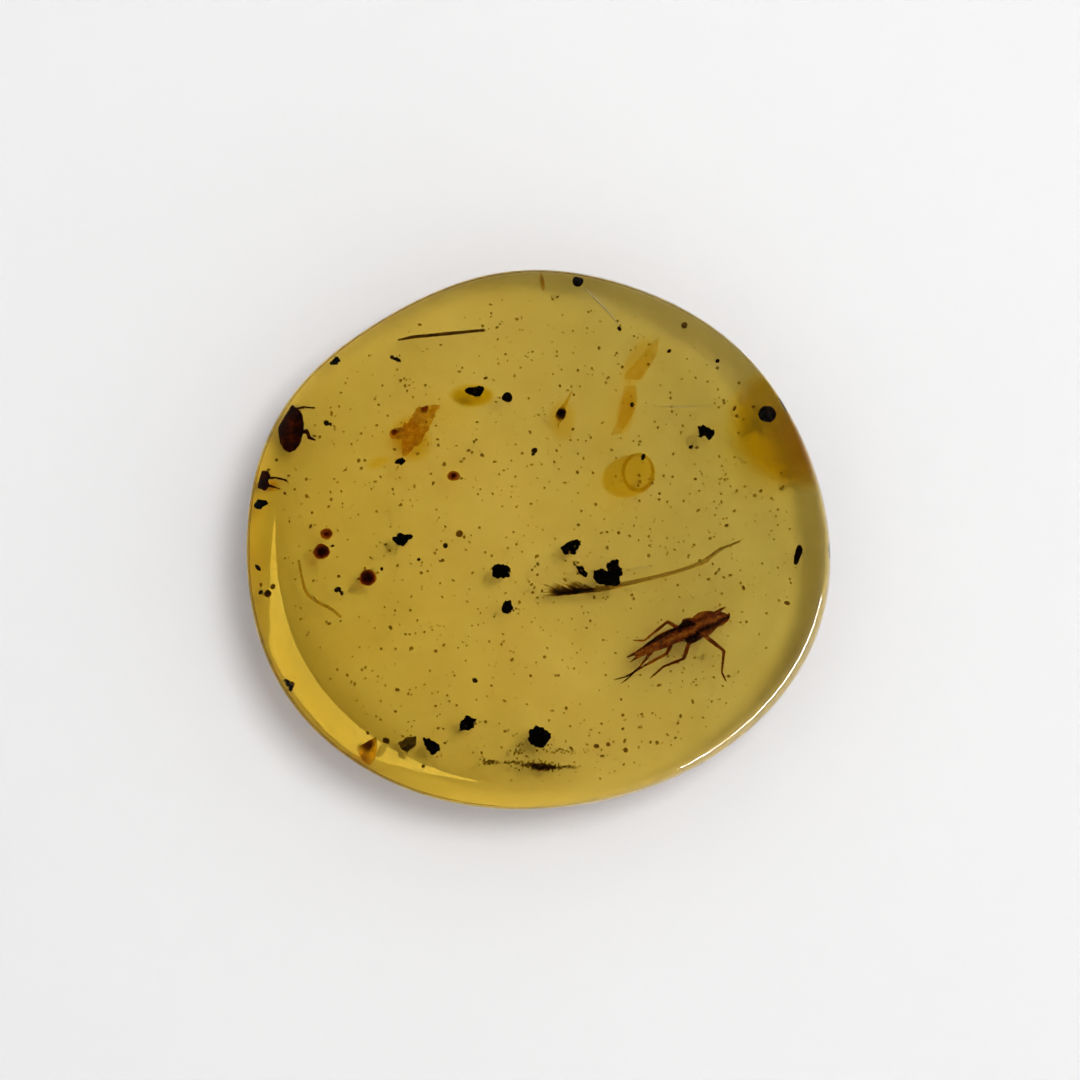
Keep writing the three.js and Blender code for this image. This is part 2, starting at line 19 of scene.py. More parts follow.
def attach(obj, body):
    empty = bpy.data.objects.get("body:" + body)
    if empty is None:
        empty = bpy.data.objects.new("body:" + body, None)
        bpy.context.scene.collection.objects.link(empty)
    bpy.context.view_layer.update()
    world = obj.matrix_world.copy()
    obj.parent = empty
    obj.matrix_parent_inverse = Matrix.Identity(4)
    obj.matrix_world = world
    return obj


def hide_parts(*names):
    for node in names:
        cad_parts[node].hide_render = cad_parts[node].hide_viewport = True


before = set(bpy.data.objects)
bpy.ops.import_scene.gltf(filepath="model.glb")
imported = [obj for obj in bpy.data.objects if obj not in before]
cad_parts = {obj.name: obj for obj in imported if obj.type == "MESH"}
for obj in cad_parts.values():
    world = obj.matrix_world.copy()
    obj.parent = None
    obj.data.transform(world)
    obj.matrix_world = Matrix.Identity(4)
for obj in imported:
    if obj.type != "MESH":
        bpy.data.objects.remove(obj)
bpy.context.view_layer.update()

LOG = logging.getLogger("amber")
MM = 0.001

# From the middle of the slab's outline, at the parting, to the frame's origin.
SLAB_SHIFT = (0.04, 0.02, 2.7)

Pair = tuple[float, float]
Triple = tuple[float, float, float]
Points = list[Triple]
Spots = list[tuple[Vector, float]]  # each speck's place and half size


class Slot(Enum):
    """The record's material slots."""

    AMBER = "amber"
    CHITIN = "chitin"
    DARK_CHITIN = "dark_chitin"
    CHARRED = "charred"
    RESIN = "resin"
    STEM = "stem"
    SCRAP = "leaf_scrap"


# Node trees


class NodeGraph:
    """A node tree, with short ways to add and join nodes."""

    def __init__(self, tree: NodeTree) -> None:
        """Takes the tree to work on."""
        self.tree = tree

    def add(self, kind: str, settings: dict[str, object] | None = None, **inputs: object) -> Node:
        """Adds a node and fills its inputs.

        Args:
            kind: The node's type.
            settings: Attributes to set on it.
            **inputs: Input names, with an underscore for each space, and values or outputs to join.

        Returns:
            The new node.
        """
        node = self.tree.nodes.new(kind)
        for key, value in (settings or {}).items():
            setattr(node, key, value)
        for key, value in inputs.items():
            label = key.replace("_", " ")
            self.fill(next(s for s in node.inputs if s.enabled and s.name == label), value)
        return node

    def fill(self, socket: NodeSocket, value: object) -> None:
        """Sets an input, or joins an output to it.

        Args:
            socket: The input.
            value: A value or an output.
        """
        if isinstance(value, NodeSocket):
            self.tree.links.new(value, socket)
        else:
            socket.default_value = value

    def maths(self, operation: str, *values: float | NodeSocket) -> NodeSocket:
        """Adds a maths node.

        Args:
            operation: The operation's name.
            *values: Numbers, or outputs to join.

        Returns:
            Its output.
        """
        node = self.add("ShaderNodeMath", {"operation": operation})
        for socket, value in zip(node.inputs, values):
            self.fill(socket, value)
        return node.outputs[0]

    def scaled(self, vector: NodeSocket, factor: float | NodeSocket) -> NodeSocket:
        """Multiplies a vector by a number.

        Args:
            vector: The vector.
            factor: The number, or an output.

        Returns:
            The product.
        """
        node = self.add("ShaderNodeVectorMath", {"operation": "SCALE"}, Scale=factor)
        self.fill(node.inputs[0], vector)
        return node.outputs["Vector"]

    def eased(self, value: NodeSocket, source: Pair, target: Pair = (0.0, 1.0)) -> NodeSocket:
        """Maps a value smoothly from one range to another.

        Args:
            value: The value.
            source: Where the first range starts and ends.
            target: What its ends become.

        Returns:
            The new value.
        """
        node = self.add("ShaderNodeMapRange", {"interpolation_type": "SMOOTHSTEP"}, Value=value)
        for label, limit in zip(("From Min", "From Max", "To Min", "To Max"), (*source, *target)):
            node.inputs[label].default_value = limit
        return node.outputs["Result"]


class ShaderGraph(NodeGraph):
    """One material's node tree, with the kinds of node that the finishes share."""

    def __init__(self, name: str) -> None:
        """Starts a material with an output and a Principled surface.

        Args:
            name: The material's name.
        """
        self.material = bpy.data.materials.new(name)
        self.material.use_nodes = True
        super().__init__(self.material.node_tree)
        self.tree.nodes.clear()
        self.output = self.add("ShaderNodeOutputMaterial")
        self.surface = self.add("ShaderNodeBsdfPrincipled")
        self.fill(self.output.inputs["Surface"], self.surface.outputs["BSDF"])
        self.place = self.scaled(self.add("ShaderNodeTexCoord").outputs["Object"], 1 / MM)

    def set(self, **values: float | NodeSocket) -> None:
        """Sets plain values on the Principled surface, or joins outputs to it.

        Args:
            **values: The inputs' names, with an underscore for each space, and what they get.
        """
        for key, value in values.items():
            self.fill(self.surface.inputs[key.replace("_", " ")], value)

    def absorb(self, colour: Triple, density: float) -> None:
        """Makes the inside soak up light.

        Args:
            colour: What is left of white.
            density: How strongly it works, per metre.
        """
        volume = self.add("ShaderNodeVolumeAbsorption", Color=(*colour, 1.0), Density=density)
        self.fill(self.output.inputs["Volume"], volume.outputs[0])

    def noise(self, scale: float, detail: float = 3.0, roughness: float = 0.6) -> NodeSocket:
        """Adds a noise over the piece.

        Args:
            scale: Bumps per millimetre.
            detail: Octaves.
            roughness: Weight of the finer octaves.

        Returns:
            The noise's factor.
        """
        node = self.add("ShaderNodeTexNoise", Scale=scale, Detail=detail, Roughness=roughness)
        self.fill(node.inputs["Vector"], self.place)
        return node.outputs["Fac"]

    def attribute(self, name: str) -> NodeSocket:
        """Reads one of the mesh's own numbers."""
        return self.add("ShaderNodeAttribute", {"attribute_name": name}).outputs["Fac"]

    def ramp(self, factor: NodeSocket, stops: dict[float, Triple]) -> NodeSocket:
        """Turns a factor into a colour.

        Args:
            factor: The factor.
            stops: Colours by their places from 0 to 1.

        Returns:
            The colour.
        """
        node = self.add("ShaderNodeValToRGB", Fac=factor)
        elements = node.color_ramp.elements
        places = sorted(stops)
        elements[0].position, elements[-1].position = places[0], places[-1]
        for place in places[1:-1]:
            elements.new(place)
        for element, place in zip(elements, places):
            element.color = (*stops[place], 1.0)
        return node.outputs["Color"]

    def mix(self, factor: object, first: object, second: object, blend: str = "MIX") -> NodeSocket:
        """Mixes two colours.

        Args:
            factor: Share of the second, as a number or an output.
            first: A colour or an output.
            second: A colour or an output.
            blend: How they are mixed.

        Returns:
            The mixed colour.
        """
        node = self.add("ShaderNodeMix", {"data_type": "RGBA", "blend_type": blend})
        for socket, value in zip((node.inputs[0], node.inputs[6], node.inputs[7]), (factor, first, second)):
            self.fill(socket, (*value, 1.0) if isinstance(value, tuple) else value)
        return node.outputs[2]

    def bump(self, height: NodeSocket, strength: float, distance: float) -> None:
        """Roughens the surface's shading.

        Args:
            height: The height.
            strength: Its weight.
            distance: How high it is, in millimetres.
        """
        node = self.add("ShaderNodeBump", Strength=strength, Distance=distance * MM, Height=height)
        self.set(Normal=node.outputs["Normal"])


class GeometryTree(NodeGraph):
    """A Geometry Nodes tree with named number inputs, ending in real, textured mesh."""

    def __init__(self, name: str, inputs: dict[str, float]) -> None:
        """Starts the tree.

        Args:
            name: The tree's name.
            inputs: Its number inputs and their values.
        """
        super().__init__(bpy.data.node_groups.new(name, "GeometryNodeTree"))
        interface = self.tree.interface
        for way in ("INPUT", "OUTPUT"):
            interface.new_socket("Geometry", in_out=way, socket_type="NodeSocketGeometry")
        self.values: dict[str, float] = {}
        for label, value in inputs.items():
            kind = "NodeSocketInt" if isinstance(value, int) else "NodeSocketFloat"
            self.values[interface.new_socket(label, in_out="INPUT", socket_type=kind).identifier] = value
        self.given = self.tree.nodes.new("NodeGroupInput").outputs

    def random(self, low: Triple, high: Triple, salt: int) -> NodeSocket:
        """Adds a random vector for each point.

        Args:
            low: The lowest numbers.
            high: The highest numbers.
            salt: Added to the tree's seed.

        Returns:
            The random vector.
        """
        seed = self.maths("ADD", self.given["Seed"], salt)
        settings = {"data_type": "FLOAT_VECTOR"}
        node = self.add("FunctionNodeRandomValue", settings, Min=low, Max=high, Seed=seed)
        return next(s for s in node.outputs if s.enabled)

    def run_on(self, obj: Object, geometry: NodeSocket) -> None:
        """Ends the tree in real geometry, and leaves its result as an object's mesh.

        Args:
            obj: The object, whose first material the result gets.
            geometry: The geometry.
        """
        real = self.add("GeometryNodeRealizeInstances", Geometry=geometry)
        last = self.add("GeometryNodeSetMaterial", Geometry=real.outputs[0], Material=obj.data.materials[0])
        self.fill(self.tree.nodes.new("NodeGroupOutput").inputs[0], last.outputs[0])
        modifier = obj.modifiers.new(self.tree.name, "NODES")
        modifier.node_group = self.tree
        for identifier, value in self.values.items():
            modifier[identifier] = value
        evaluated = obj.evaluated_get(bpy.context.evaluated_depsgraph_get())
        made = bpy.data.meshes.new_from_object(evaluated)
        obj.modifiers.remove(modifier)
        obj.data = made


# Meshes


class Shell:
    """Closed surfaces collected in millimetres, to become one object."""

    def __init__(self) -> None:
        """Starts empty."""
        self.points: list[Vector] = []
        self.faces: list[tuple[int, ...]] = []

    def loft(self, rings: list[list[Vector]], first: Vector, last: Vector) -> None:
        """Adds a skin over rings, closed by a point at each end.

        Args:
            rings: Rings of one length, anticlockwise seen from the last.
            first: The point before the first ring.
            last: The point after the last ring.
        """
        start, count = len(self.points), len(rings[0])
        self.points += [first, *(point for ring in rings for point in ring), last]
        end = len(self.points) - 1

        def at(ring: int, i: int) -> int:
            """Gives the number of a ring's point."""
            return start + 1 + ring * count + i % count

        for i in range(count):
            self.faces.append((start, at(0, i + 1), at(0, i)))
            self.faces.append((end, at(len(rings) - 1, i), at(len(rings) - 1, i + 1)))
            for ring in range(len(rings) - 1):
                self.faces.append((at(ring, i), at(ring, i + 1), at(ring + 1, i + 1), at(ring + 1, i)))

    def tube(
        self, route: list[Vector], wides: list[float], talls: list[float] | None = None, sides: int = 10
    ) -> None:
        """Adds a tube along a route, with rounded ends.

        Args:
            route: Points along it.
            wides: Half its width at each point.
            talls: Half its height at each point, if that isn't its width.
            sides: Corners round it.
        """
        talls = talls or wides
        headings = [route[min(i + 1, len(route) - 1)] - route[max(i - 1, 0)] for i in range(len(route))]
        rings = []
        for point, heading, wide, tall in zip(route, headings, wides, talls):
            along = heading.normalized()
            side = Vector((0, 0, 1)).cross(along).normalized()
            up = along.cross(side)
            turns = (2 * math.pi * i / sides for i in range(sides))
            rings.append([point + side * (wide * math.cos(t)) + up * (tall * math.sin(t)) for t in turns])
        first = route[0] - headings[0].normalized() * min(wides[0], talls[0])
        last = route[-1] + headings[-1].normalized() * min(wides[-1], talls[-1])
        self.loft(rings, first, last)

    def ball(self, centre: Vector, radii: Triple) -> None:
        """Adds an egg shape.

        Args:
            centre: Its middle.
            radii: Half its sizes.
        """
        ball = bmesh.new()
        bmesh.ops.create_icosphere(ball, subdivisions=3, radius=1.0)
        start = len(self.points)
        self.points += [centre + Vector(c * r for c, r in zip(v.co, radii)) for v in ball.verts]
        self.faces += [tuple(start + v.index for v in f.verts) for f in ball.faces]
        ball.free()

    def moved(self, matrix: Matrix) -> "Shell":
        """Moves what has been added so far, and gives the shell itself."""
        self.points = [matrix @ point for point in self.points]
        return self

    def fused(self, voxel: float, smoothing: int = 2) -> "Shell":
        """Turns everything so far into one fine, even skin.

        Args:
            voxel: The skin's fineness.
            smoothing: Rounds of smoothing after it.

        Returns:
            The shell itself.
        """
        obj = self.object_in_mm("fusing")
        remesh = obj.modifiers.new("Remesh", "REMESH")
        remesh.mode, remesh.voxel_size = "VOXEL", voxel
        obj.modifiers.new("Smooth", "SMOOTH").iterations = smoothing
        evaluated = obj.evaluated_get(bpy.context.evaluated_depsgraph_get())
        made = bpy.data.meshes.new_from_object(evaluated)
        self.points = [v.co.copy() for v in made.vertices]
        self.faces = [tuple(p.vertices) for p in made.polygons]
        bpy.data.objects.remove(obj)
        return self

    def roughened(self, amount: float, scale: float, seed: float = 0.0, growth: float = 0.0) -> "Shell":
        """Moves the surface in and out by a fractal noise.

        Args:
            amount: The furthest move.
            scale: Bumps per millimetre.
            seed: Shifts the noise.
            growth: Moves all of it outward.

        Returns:
            The shell itself.
        """
        mesh = bpy.data.meshes.new("roughening")
        mesh.from_pydata(self.points, [], self.faces)
        shift = Vector((seed, 2 * seed, 3 * seed))
        self.points = [
            v.co + v.normal * (growth + amount * noise.fractal(v.co * scale + shift, 0.8, 2.1, 4))
            for v in mesh.vertices
        ]
        bpy.data.meshes.remove(mesh)
        return self

    def object_in_mm(self, name: str) -> Object:
        """Makes an object whose mesh is in millimetres.

        Args:
            name: Its name.

        Returns:
            The object.
        """
        mesh = bpy.data.meshes.new(name)
        mesh.from_pydata(self.points, [], self.faces)
        obj = bpy.data.objects.new(name, mesh)
        bpy.context.collection.objects.link(obj)
        return obj

    def to_object(self, name: str, material: Material) -> Object:
        """Makes the finished object, in metres.

        Args:
            name: Its name.
            material: Its material.

        Returns:
            The object.
        """
        obj = self.object_in_mm(name)
        obj.data.transform(Matrix.Scale(MM, 4))
        obj.data.materials.append(material)
        obj.data.shade_smooth()
        return obj


def smooth_route(points: Points, steps: int) -> list[Vector]:
    """Draws a smooth route through points.

    Args:
        points: The points.
        steps: How many points to give between each two.

    Returns:
        The route.
    """
    given = [Vector(p) for p in points]
    padded = [given[0] * 2 - given[1], *given, given[-1] * 2 - given[-2]]
    route = []
    for i in range(1, len(padded) - 2):
        a, b, c, d = padded[i - 1 : i + 3]
        for step in range(steps):
            t = step / steps
            bend, twist = 2 * a - 5 * b + 4 * c - d, 3 * b - a - 3 * c + d
            route.append(0.5 * (2 * b + (c - a) * t + bend * t**2 + twist * t**3))
    return [*route, given[-1]]


def spread(values: list[float], count: int) -> list[float]:
    """Spreads a few values evenly over more places."""
    return list(np.interp(np.linspace(0, len(values) - 1, count), range(len(values)), values))


def smooth_step(value: float) -> float:
    """Eases a value from 0 to 1."""
    value = min(max(value, 0.0), 1.0)
    return value * value * (3 - 2 * value)


def from_node(name: str) -> Shell:
    """Starts a shell from a CAD node's solid.

    Args:
        name: The node's name.

    Returns:
        The shell, in millimetres.
    """
    work = bmesh.new()
    work.from_mesh(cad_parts[name].data)
    bmesh.ops.remove_doubles(work, verts=work.verts, dist=1e-7)
    shell = Shell()
    shell.points = [v.co / MM for v in work.verts]
    shell.faces = [tuple(v.index for v in f.verts) for f in work.faces]
    work.free()
    return shell


def paint(obj: Object, name: str, values: list[float]) -> None:
    """Stores a number for each of a mesh's points."""
    obj.data.attributes.new(name, "FLOAT", "POINT").data.foreach_set("value", values)


def deliver(obj: Object, slot: Slot, *replaced: str) -> None:
    """Hands a finished piece to the frame.

    Args:
        obj: The piece.
        slot: The record's slot for the piece; not used.
        *replaced: The CAD nodes that it stands for.
    """
    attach(obj, "root")
    if replaced:
        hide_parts(*replaced)
    LOG.info("%s: %d faces", obj.name, len(obj.data.polygons))


# Finishes


@dataclass(frozen=True)
class Stain:
    """A soft patch of colour in the amber."""

    place: Pair
    reach: Pair
    tint: Triple
    turn: float = 0.0
    edge: float = 0.5  # share of the reach over which it fades
    wander: float = 0.25  # how far the noise moves its edge


@dataclass(frozen=True)
class AmberFinish:
    """Clear golden amber, with brown stains that only tint the light, and painted shade and painted light
    along its rim.
    """

    roughness: float = 0.02
    refraction: float = 1.54
    absorption_tint: Triple = (0.972, 0.943, 0.785)
    absorption_density: float = 1000.0
    tints: dict[float, Triple] = field(
        default_factory=lambda: {0.05: (0.91, 0.875, 0.67), 0.48: (0.95, 0.93, 0.9), 0.9: (0.83, 0.84, 0.87)}
    )  # by their places from the left edge to the right one
    fade: Pair = (1 / 30, 0.012)  # shares of that way, per millimetre along X and Y
    drift: float = 0.2
    drift_scale: float = 0.12
    streak_tint: Triple = (0.95, 0.93, 0.88)
    warp_scale: float = 0.9
    rim_reach: Pair = (14.6, 13.8)
    rim_start: float = 0.79
    rim_focus: float = 2.5
    # Painted shade and light along the rim: the next three values darken one side, partly its golden colour
    # and partly painted shade over a bright band, and lighten the other side with painted light.
    painted_shade_side: Pair = (-0.848, -0.53)
    golden_rim_and_painted_shade: Triple = (0.6, 0.55, 0.34)
    painted_rim_light: Triple = (1.12, 1.12, 1.1)
    stains: tuple[Stain, ...] = (
        Stain((13.5, 6.1), (4.1, 3.7), (0.86, 0.73, 0.15), edge=0.3, wander=0.06),
        Stain((14.4, 5.5), (3.1, 3.4), (0.84, 0.64, 0.25), edge=0.8),
        Stain((-3.45, 7.46), (1.3, 0.62), (0.84, 0.72, 0.12), edge=0.35, wander=0.1),
        Stain((4.6, 3.3), (1.48, 1.14), (0.92, 0.83, 0.35), turn=0.3, edge=0.15, wander=0.04),
        Stain((1.2, 6.2), (0.9, 1.3), (0.95, 0.88, 0.6), edge=0.6),
        Stain((-6.6, 5.2), (1.2, 1.4), (0.92, 0.82, 0.4), turn=0.6, edge=0.5),
        Stain((5.1, 9.2), (0.75, 1.7), (0.97, 0.9, 0.65), turn=-0.45, edge=0.5),
        Stain((4.5, 6.7), (0.55, 1.5), (0.95, 0.85, 0.5), turn=-0.2, edge=0.5),
        Stain((0.15, 13.3), (0.14, 0.5), (0.7, 0.5, 0.2), turn=0.2, edge=0.5),
        Stain((-13.75, 2.8), (0.5, 0.4), (0.93, 0.7, 0.3), edge=0.7),
        Stain((-8.3, 4.0), (0.9, 0.35), (0.96, 0.88, 0.5), turn=0.4, edge=0.8),
        Stain((-17.0, 2.0), (4.6, 10.0), (0.97, 0.88, 0.3), edge=0.9),
    )

    def build(self) -> Material:
        """Makes the material.

        Returns:
            The material.
        """
        graph = ShaderGraph("amber")
        graph.set(Roughness=self.roughness, IOR=self.refraction, Transmission_Weight=1.0)
        axes = graph.add("ShaderNodeSeparateXYZ")
        graph.fill(axes.inputs[0], graph.place)
        x, y = axes.outputs["X"], axes.outputs["Y"]
        across = graph.maths("MULTIPLY_ADD", x, self.fade[0], 0.5)
        across = graph.maths("MULTIPLY_ADD", y, self.fade[1], across)
        across = graph.maths("SUBTRACT", across, self.drift / 2)
        across = graph.maths("MULTIPLY_ADD", graph.noise(self.drift_scale, 2.0), self.drift, across)
        colour = graph.ramp(across, self.tints)
        colour = self.painted_rim_shade_and_light(graph, x, y, colour)
        streaks = graph.ramp(graph.noise(0.35, 4.0, 0.55), {0.35: self.streak_tint, 0.6: (1.0, 1.0, 1.0)})
        colour = graph.mix(1.0, colour, streaks, "MULTIPLY")
        warp = graph.noise(self.warp_scale)
        for stain in self.stains:
            stained = graph.mix(1.0, colour, stain.tint, "MULTIPLY")
            colour = graph.mix(self.patch(graph, x, y, warp, stain), colour, stained)
        graph.set(Base_Color=colour)
        graph.absorb(self.absorption_tint, self.absorption_density)
        graph.bump(graph.noise(0.25, 2.0), 0.15, 0.05)
        return graph.material

    def painted_rim_shade_and_light(self, graph: ShaderGraph, x: NodeSocket, y: NodeSocket, colour: NodeSocket) -> NodeSocket:
        """Paints shade along one side of the rim, partly its more golden colour, and paints light along the
        other side.

        Args:
            graph: The material's nodes.
            x: The place along X.
            y: The place along Y.
            colour: The colour.

        Returns:
            The new colour.
        """
        across = graph.maths("MULTIPLY", x, 1 / self.rim_reach[0])
        along = graph.maths("MULTIPLY", y, 1 / self.rim_reach[1])
        square = graph.maths("MULTIPLY_ADD", across, across, graph.maths("MULTIPLY", along, along))
        band = graph.eased(graph.maths("SQRT", square), (self.rim_start, 1.0))
        sideways = graph.maths("MULTIPLY", across, self.painted_shade_side[0])
        toward = graph.maths("MULTIPLY_ADD", along, self.painted_shade_side[1], sideways)
        # Painted shade on one side of the rim, painted light on the other.
        for side, tint in ((1, self.golden_rim_and_painted_shade), (-1, self.painted_rim_light)):
            share = graph.maths("MAXIMUM", graph.maths("MULTIPLY", toward, side), 0.0)
            share = graph.maths("POWER", share, self.rim_focus)
            colour = graph.mix(graph.maths("MULTIPLY", share, band), colour, tint)
        return colour

    @staticmethod
    def patch(
        graph: ShaderGraph, x: NodeSocket, y: NodeSocket, warp: NodeSocket, stain: Stain
    ) -> NodeSocket:
        """Works out how strong a stain is at each place.

        Args:
            graph: The material's nodes.
            x: The place along X.
            y: The place along Y.
            warp: The noise that moves the edge.
            stain: The stain.

        Returns:
            Its strength, from 0 to 1.
        """
        x = graph.maths("SUBTRACT", x, stain.place[0])
        y = graph.maths("SUBTRACT", y, stain.place[1])
        cos, sin = math.cos(stain.turn), math.sin(stain.turn)
        (wide, tall), squares = stain.reach, []
        for first, second, cosine, sine, reach in ((x, y, cos, sin, wide), (y, x, cos, -sin, tall)):
            other = graph.maths("MULTIPLY", second, sine / reach)
            out = graph.maths("MULTIPLY_ADD", first, cosine / reach, other)
            squares.append(graph.maths("MULTIPLY", out, out))
        distance = graph.maths("SQRT", graph.maths("ADD", *squares))
        distance = graph.maths("MULTIPLY_ADD", warp, 2 * stain.wander, distance)
        return graph.eased(distance, (1 + stain.wander, 1 + stain.wander - stain.edge))


@dataclass(frozen=True)
class ChitinFinish:
    """An insect's mottled hard skin, darker where the mesh's dark number says so."""

    name: str
    pale: Triple
    middle: Triple
    dark: Triple
    roughness: float = 0.35
    mottling: float = 5.0
    contrast: float = 1.2
    lift: float = 0.62
    refraction: float = 1.12

    def build(self) -> Material:
        """Makes the material.

        Returns:
            The material.
        """
        graph = ShaderGraph(self.name)
        graph.set(Roughness=self.roughness, IOR=self.refraction)
        mottle = graph.noise(self.mottling, 4.0, 0.65)
        shade = graph.maths("SUBTRACT", graph.attribute("dark"), self.lift)
        shade = graph.maths("MULTIPLY_ADD", mottle, self.contrast, shade)
        graph.set(Base_Color=graph.ramp(shade, {0.0: self.pale, 0.45: self.middle, 0.95: self.dark}))
        graph.bump(graph.noise(14.0, 3.0), 0.4, 0.02)
        return graph.material


@dataclass(frozen=True)
class GrainFinish:
    """Matter of two colours mixed by a fractal noise, with a third where the mesh's dark number says so."""

    name: str
    first: Triple
    second: Triple
    dark: Triple = (0.02, 0.008, 0.003)
    clearness: float = 0.0  # 1 lets all light through, tinted
    depth_tint: Triple = (1.0, 1.0, 1.0)  # what is left of white light after depth_reach
    depth_reach: float = 0.3
    roughness: float = 0.6
    refraction: float = 1.2
    graininess: float = 4.0
    relief: float = 0.02

    def build(self) -> Material:
        """Makes the material.

        Returns:
            The material.
        """
        graph = ShaderGraph(self.name)
        graph.set(Roughness=self.roughness, IOR=self.refraction, Transmission_Weight=self.clearness)
        grain = graph.noise(self.graininess, 5.0, 0.7)
        colour = graph.ramp(grain, {0.35: self.first, 0.65: self.second})
        graph.set(Base_Color=graph.mix(graph.attribute("dark"), colour, self.dark))
        graph.bump(grain, 0.5, self.relief)
        if min(self.depth_tint) < 1:
            losses = [-math.log(max(left, 1e-3)) / (self.depth_reach * MM) for left in self.depth_tint]
            graph.absorb(tuple(1 - loss / max(losses) for loss in losses), max(losses))
        return graph.material


# The slab


@dataclass
class Slab:
    """The clear slab, as one piece over both CAD halves."""

    rim_radii: tuple[float, ...] = (
        14.93, 14.44, 14.13, 13.81, 13.83, 13.79, 14.15, 14.86,
        15.01, 15.24, 14.96, 14.3, 13.87, 13.96, 14.51, 15.08,
    )  # at equal turns, from +X anticlockwise
    top_rise: float = 2.9
    foot_depth: float = 2.7
    crown: float = 0.1
    narrow_shoulder: float = 0.1
    broad_shoulder: float = 1.0
    broad_side: float = -0.6
    foot_shoulder: float = 0.04
    squareness: float = 3.0
    sides: int = 360
    shoulder_rings: int = 40
    face_rings: int = 6
    finish: AmberFinish = field(default_factory=AmberFinish)

    def radius(self, turn: float) -> float:
        """Gives the rim's distance from the middle.

        Args:
            turn: The direction, in radians.

        Returns:
            The distance.
        """
        count = len(self.rim_radii)
        waves = np.fft.rfft(self.rim_radii) / count
        total = waves[0].real + waves[-1].real * math.cos(count / 2 * turn)
        for k in range(1, count // 2):
            total += 2 * (waves[k] * np.exp(1j * k * turn)).real
        return float(total)

    def shoulder(self, step: float) -> Pair:
        """Gives the shape of a rounded edge, from the upright wall at the rim to the flat face.

        Args:
            step: The place along it, from 0 at the rim to 1 at the face.

        Returns:
            How far it is from the rim, and how high, as shares of its width and height.
        """
        turn = step * math.pi / 2
        power = 2 / self.squareness
        return 1 - max(math.cos(turn), 0.0) ** power, math.sin(turn) ** power

    def shoulder_width(self, turn: float, is_top: bool) -> float:
        """Gives how far the rounded edge reaches in from the rim.

        Args:
            turn: The direction, in radians.
            is_top: Whether it is the top's edge, not the foot's.

        Returns:
            The width.
        """
        if not is_top:
            return self.foot_shoulder
        near = max(math.cos(turn - self.broad_side), 0.0) ** 2
        return self.narrow_shoulder + (self.broad_shoulder - self.narrow_shoulder) * near

    def half(self, rise: float, crown: float) -> list[list[Vector]]:
        """Makes the rings of one half, from the rim to the middle of its face.

        Args:
            rise: The face's height at its middle, below zero for the underside.
            crown: How much higher the face is at its middle than at the shoulder.

        Returns:
            The rings.
        """
        turns = [2 * math.pi * i / self.sides for i in range(self.sides)]
        rim = [(self.radius(turn), turn) for turn in turns]
        edge = rise - crown
        rings = []
        for i in range(self.shoulder_rings + 1):
            inward, up = self.shoulder((i / self.shoulder_rings) ** 1.3)
            ring = []
            for radius, turn in rim:
                out = radius - self.shoulder_width(turn, rise > 0) * inward
                ring.append(Vector((out * math.cos(turn), out * math.sin(turn), edge * up)))
            rings.append(ring)
        for i in range(1, self.face_rings):
            share = 1 - i / self.face_rings
            height = edge + crown * (1 - share * share)
            rings.append([Vector((share * p.x, share * p.y, height)) for p in rings[self.shoulder_rings]])
        return rings

    def build(self) -> None:
        """Makes the slab."""
        under = self.half(-self.foot_depth, 0.0)
        over = self.half(self.top_rise, self.crown)
        shell = Shell()
        bottom, summit = Vector((0, 0, -self.foot_depth)), Vector((0, 0, self.top_rise))
        shell.loft([*reversed(under[1:]), *over], bottom, summit)
        shell.moved(Matrix.Translation(SLAB_SHIFT))
        piece = shell.to_object("amber", self.finish.build())
        deliver(piece, Slot.AMBER, "amber_upper", "amber_lower")


# The winged insect


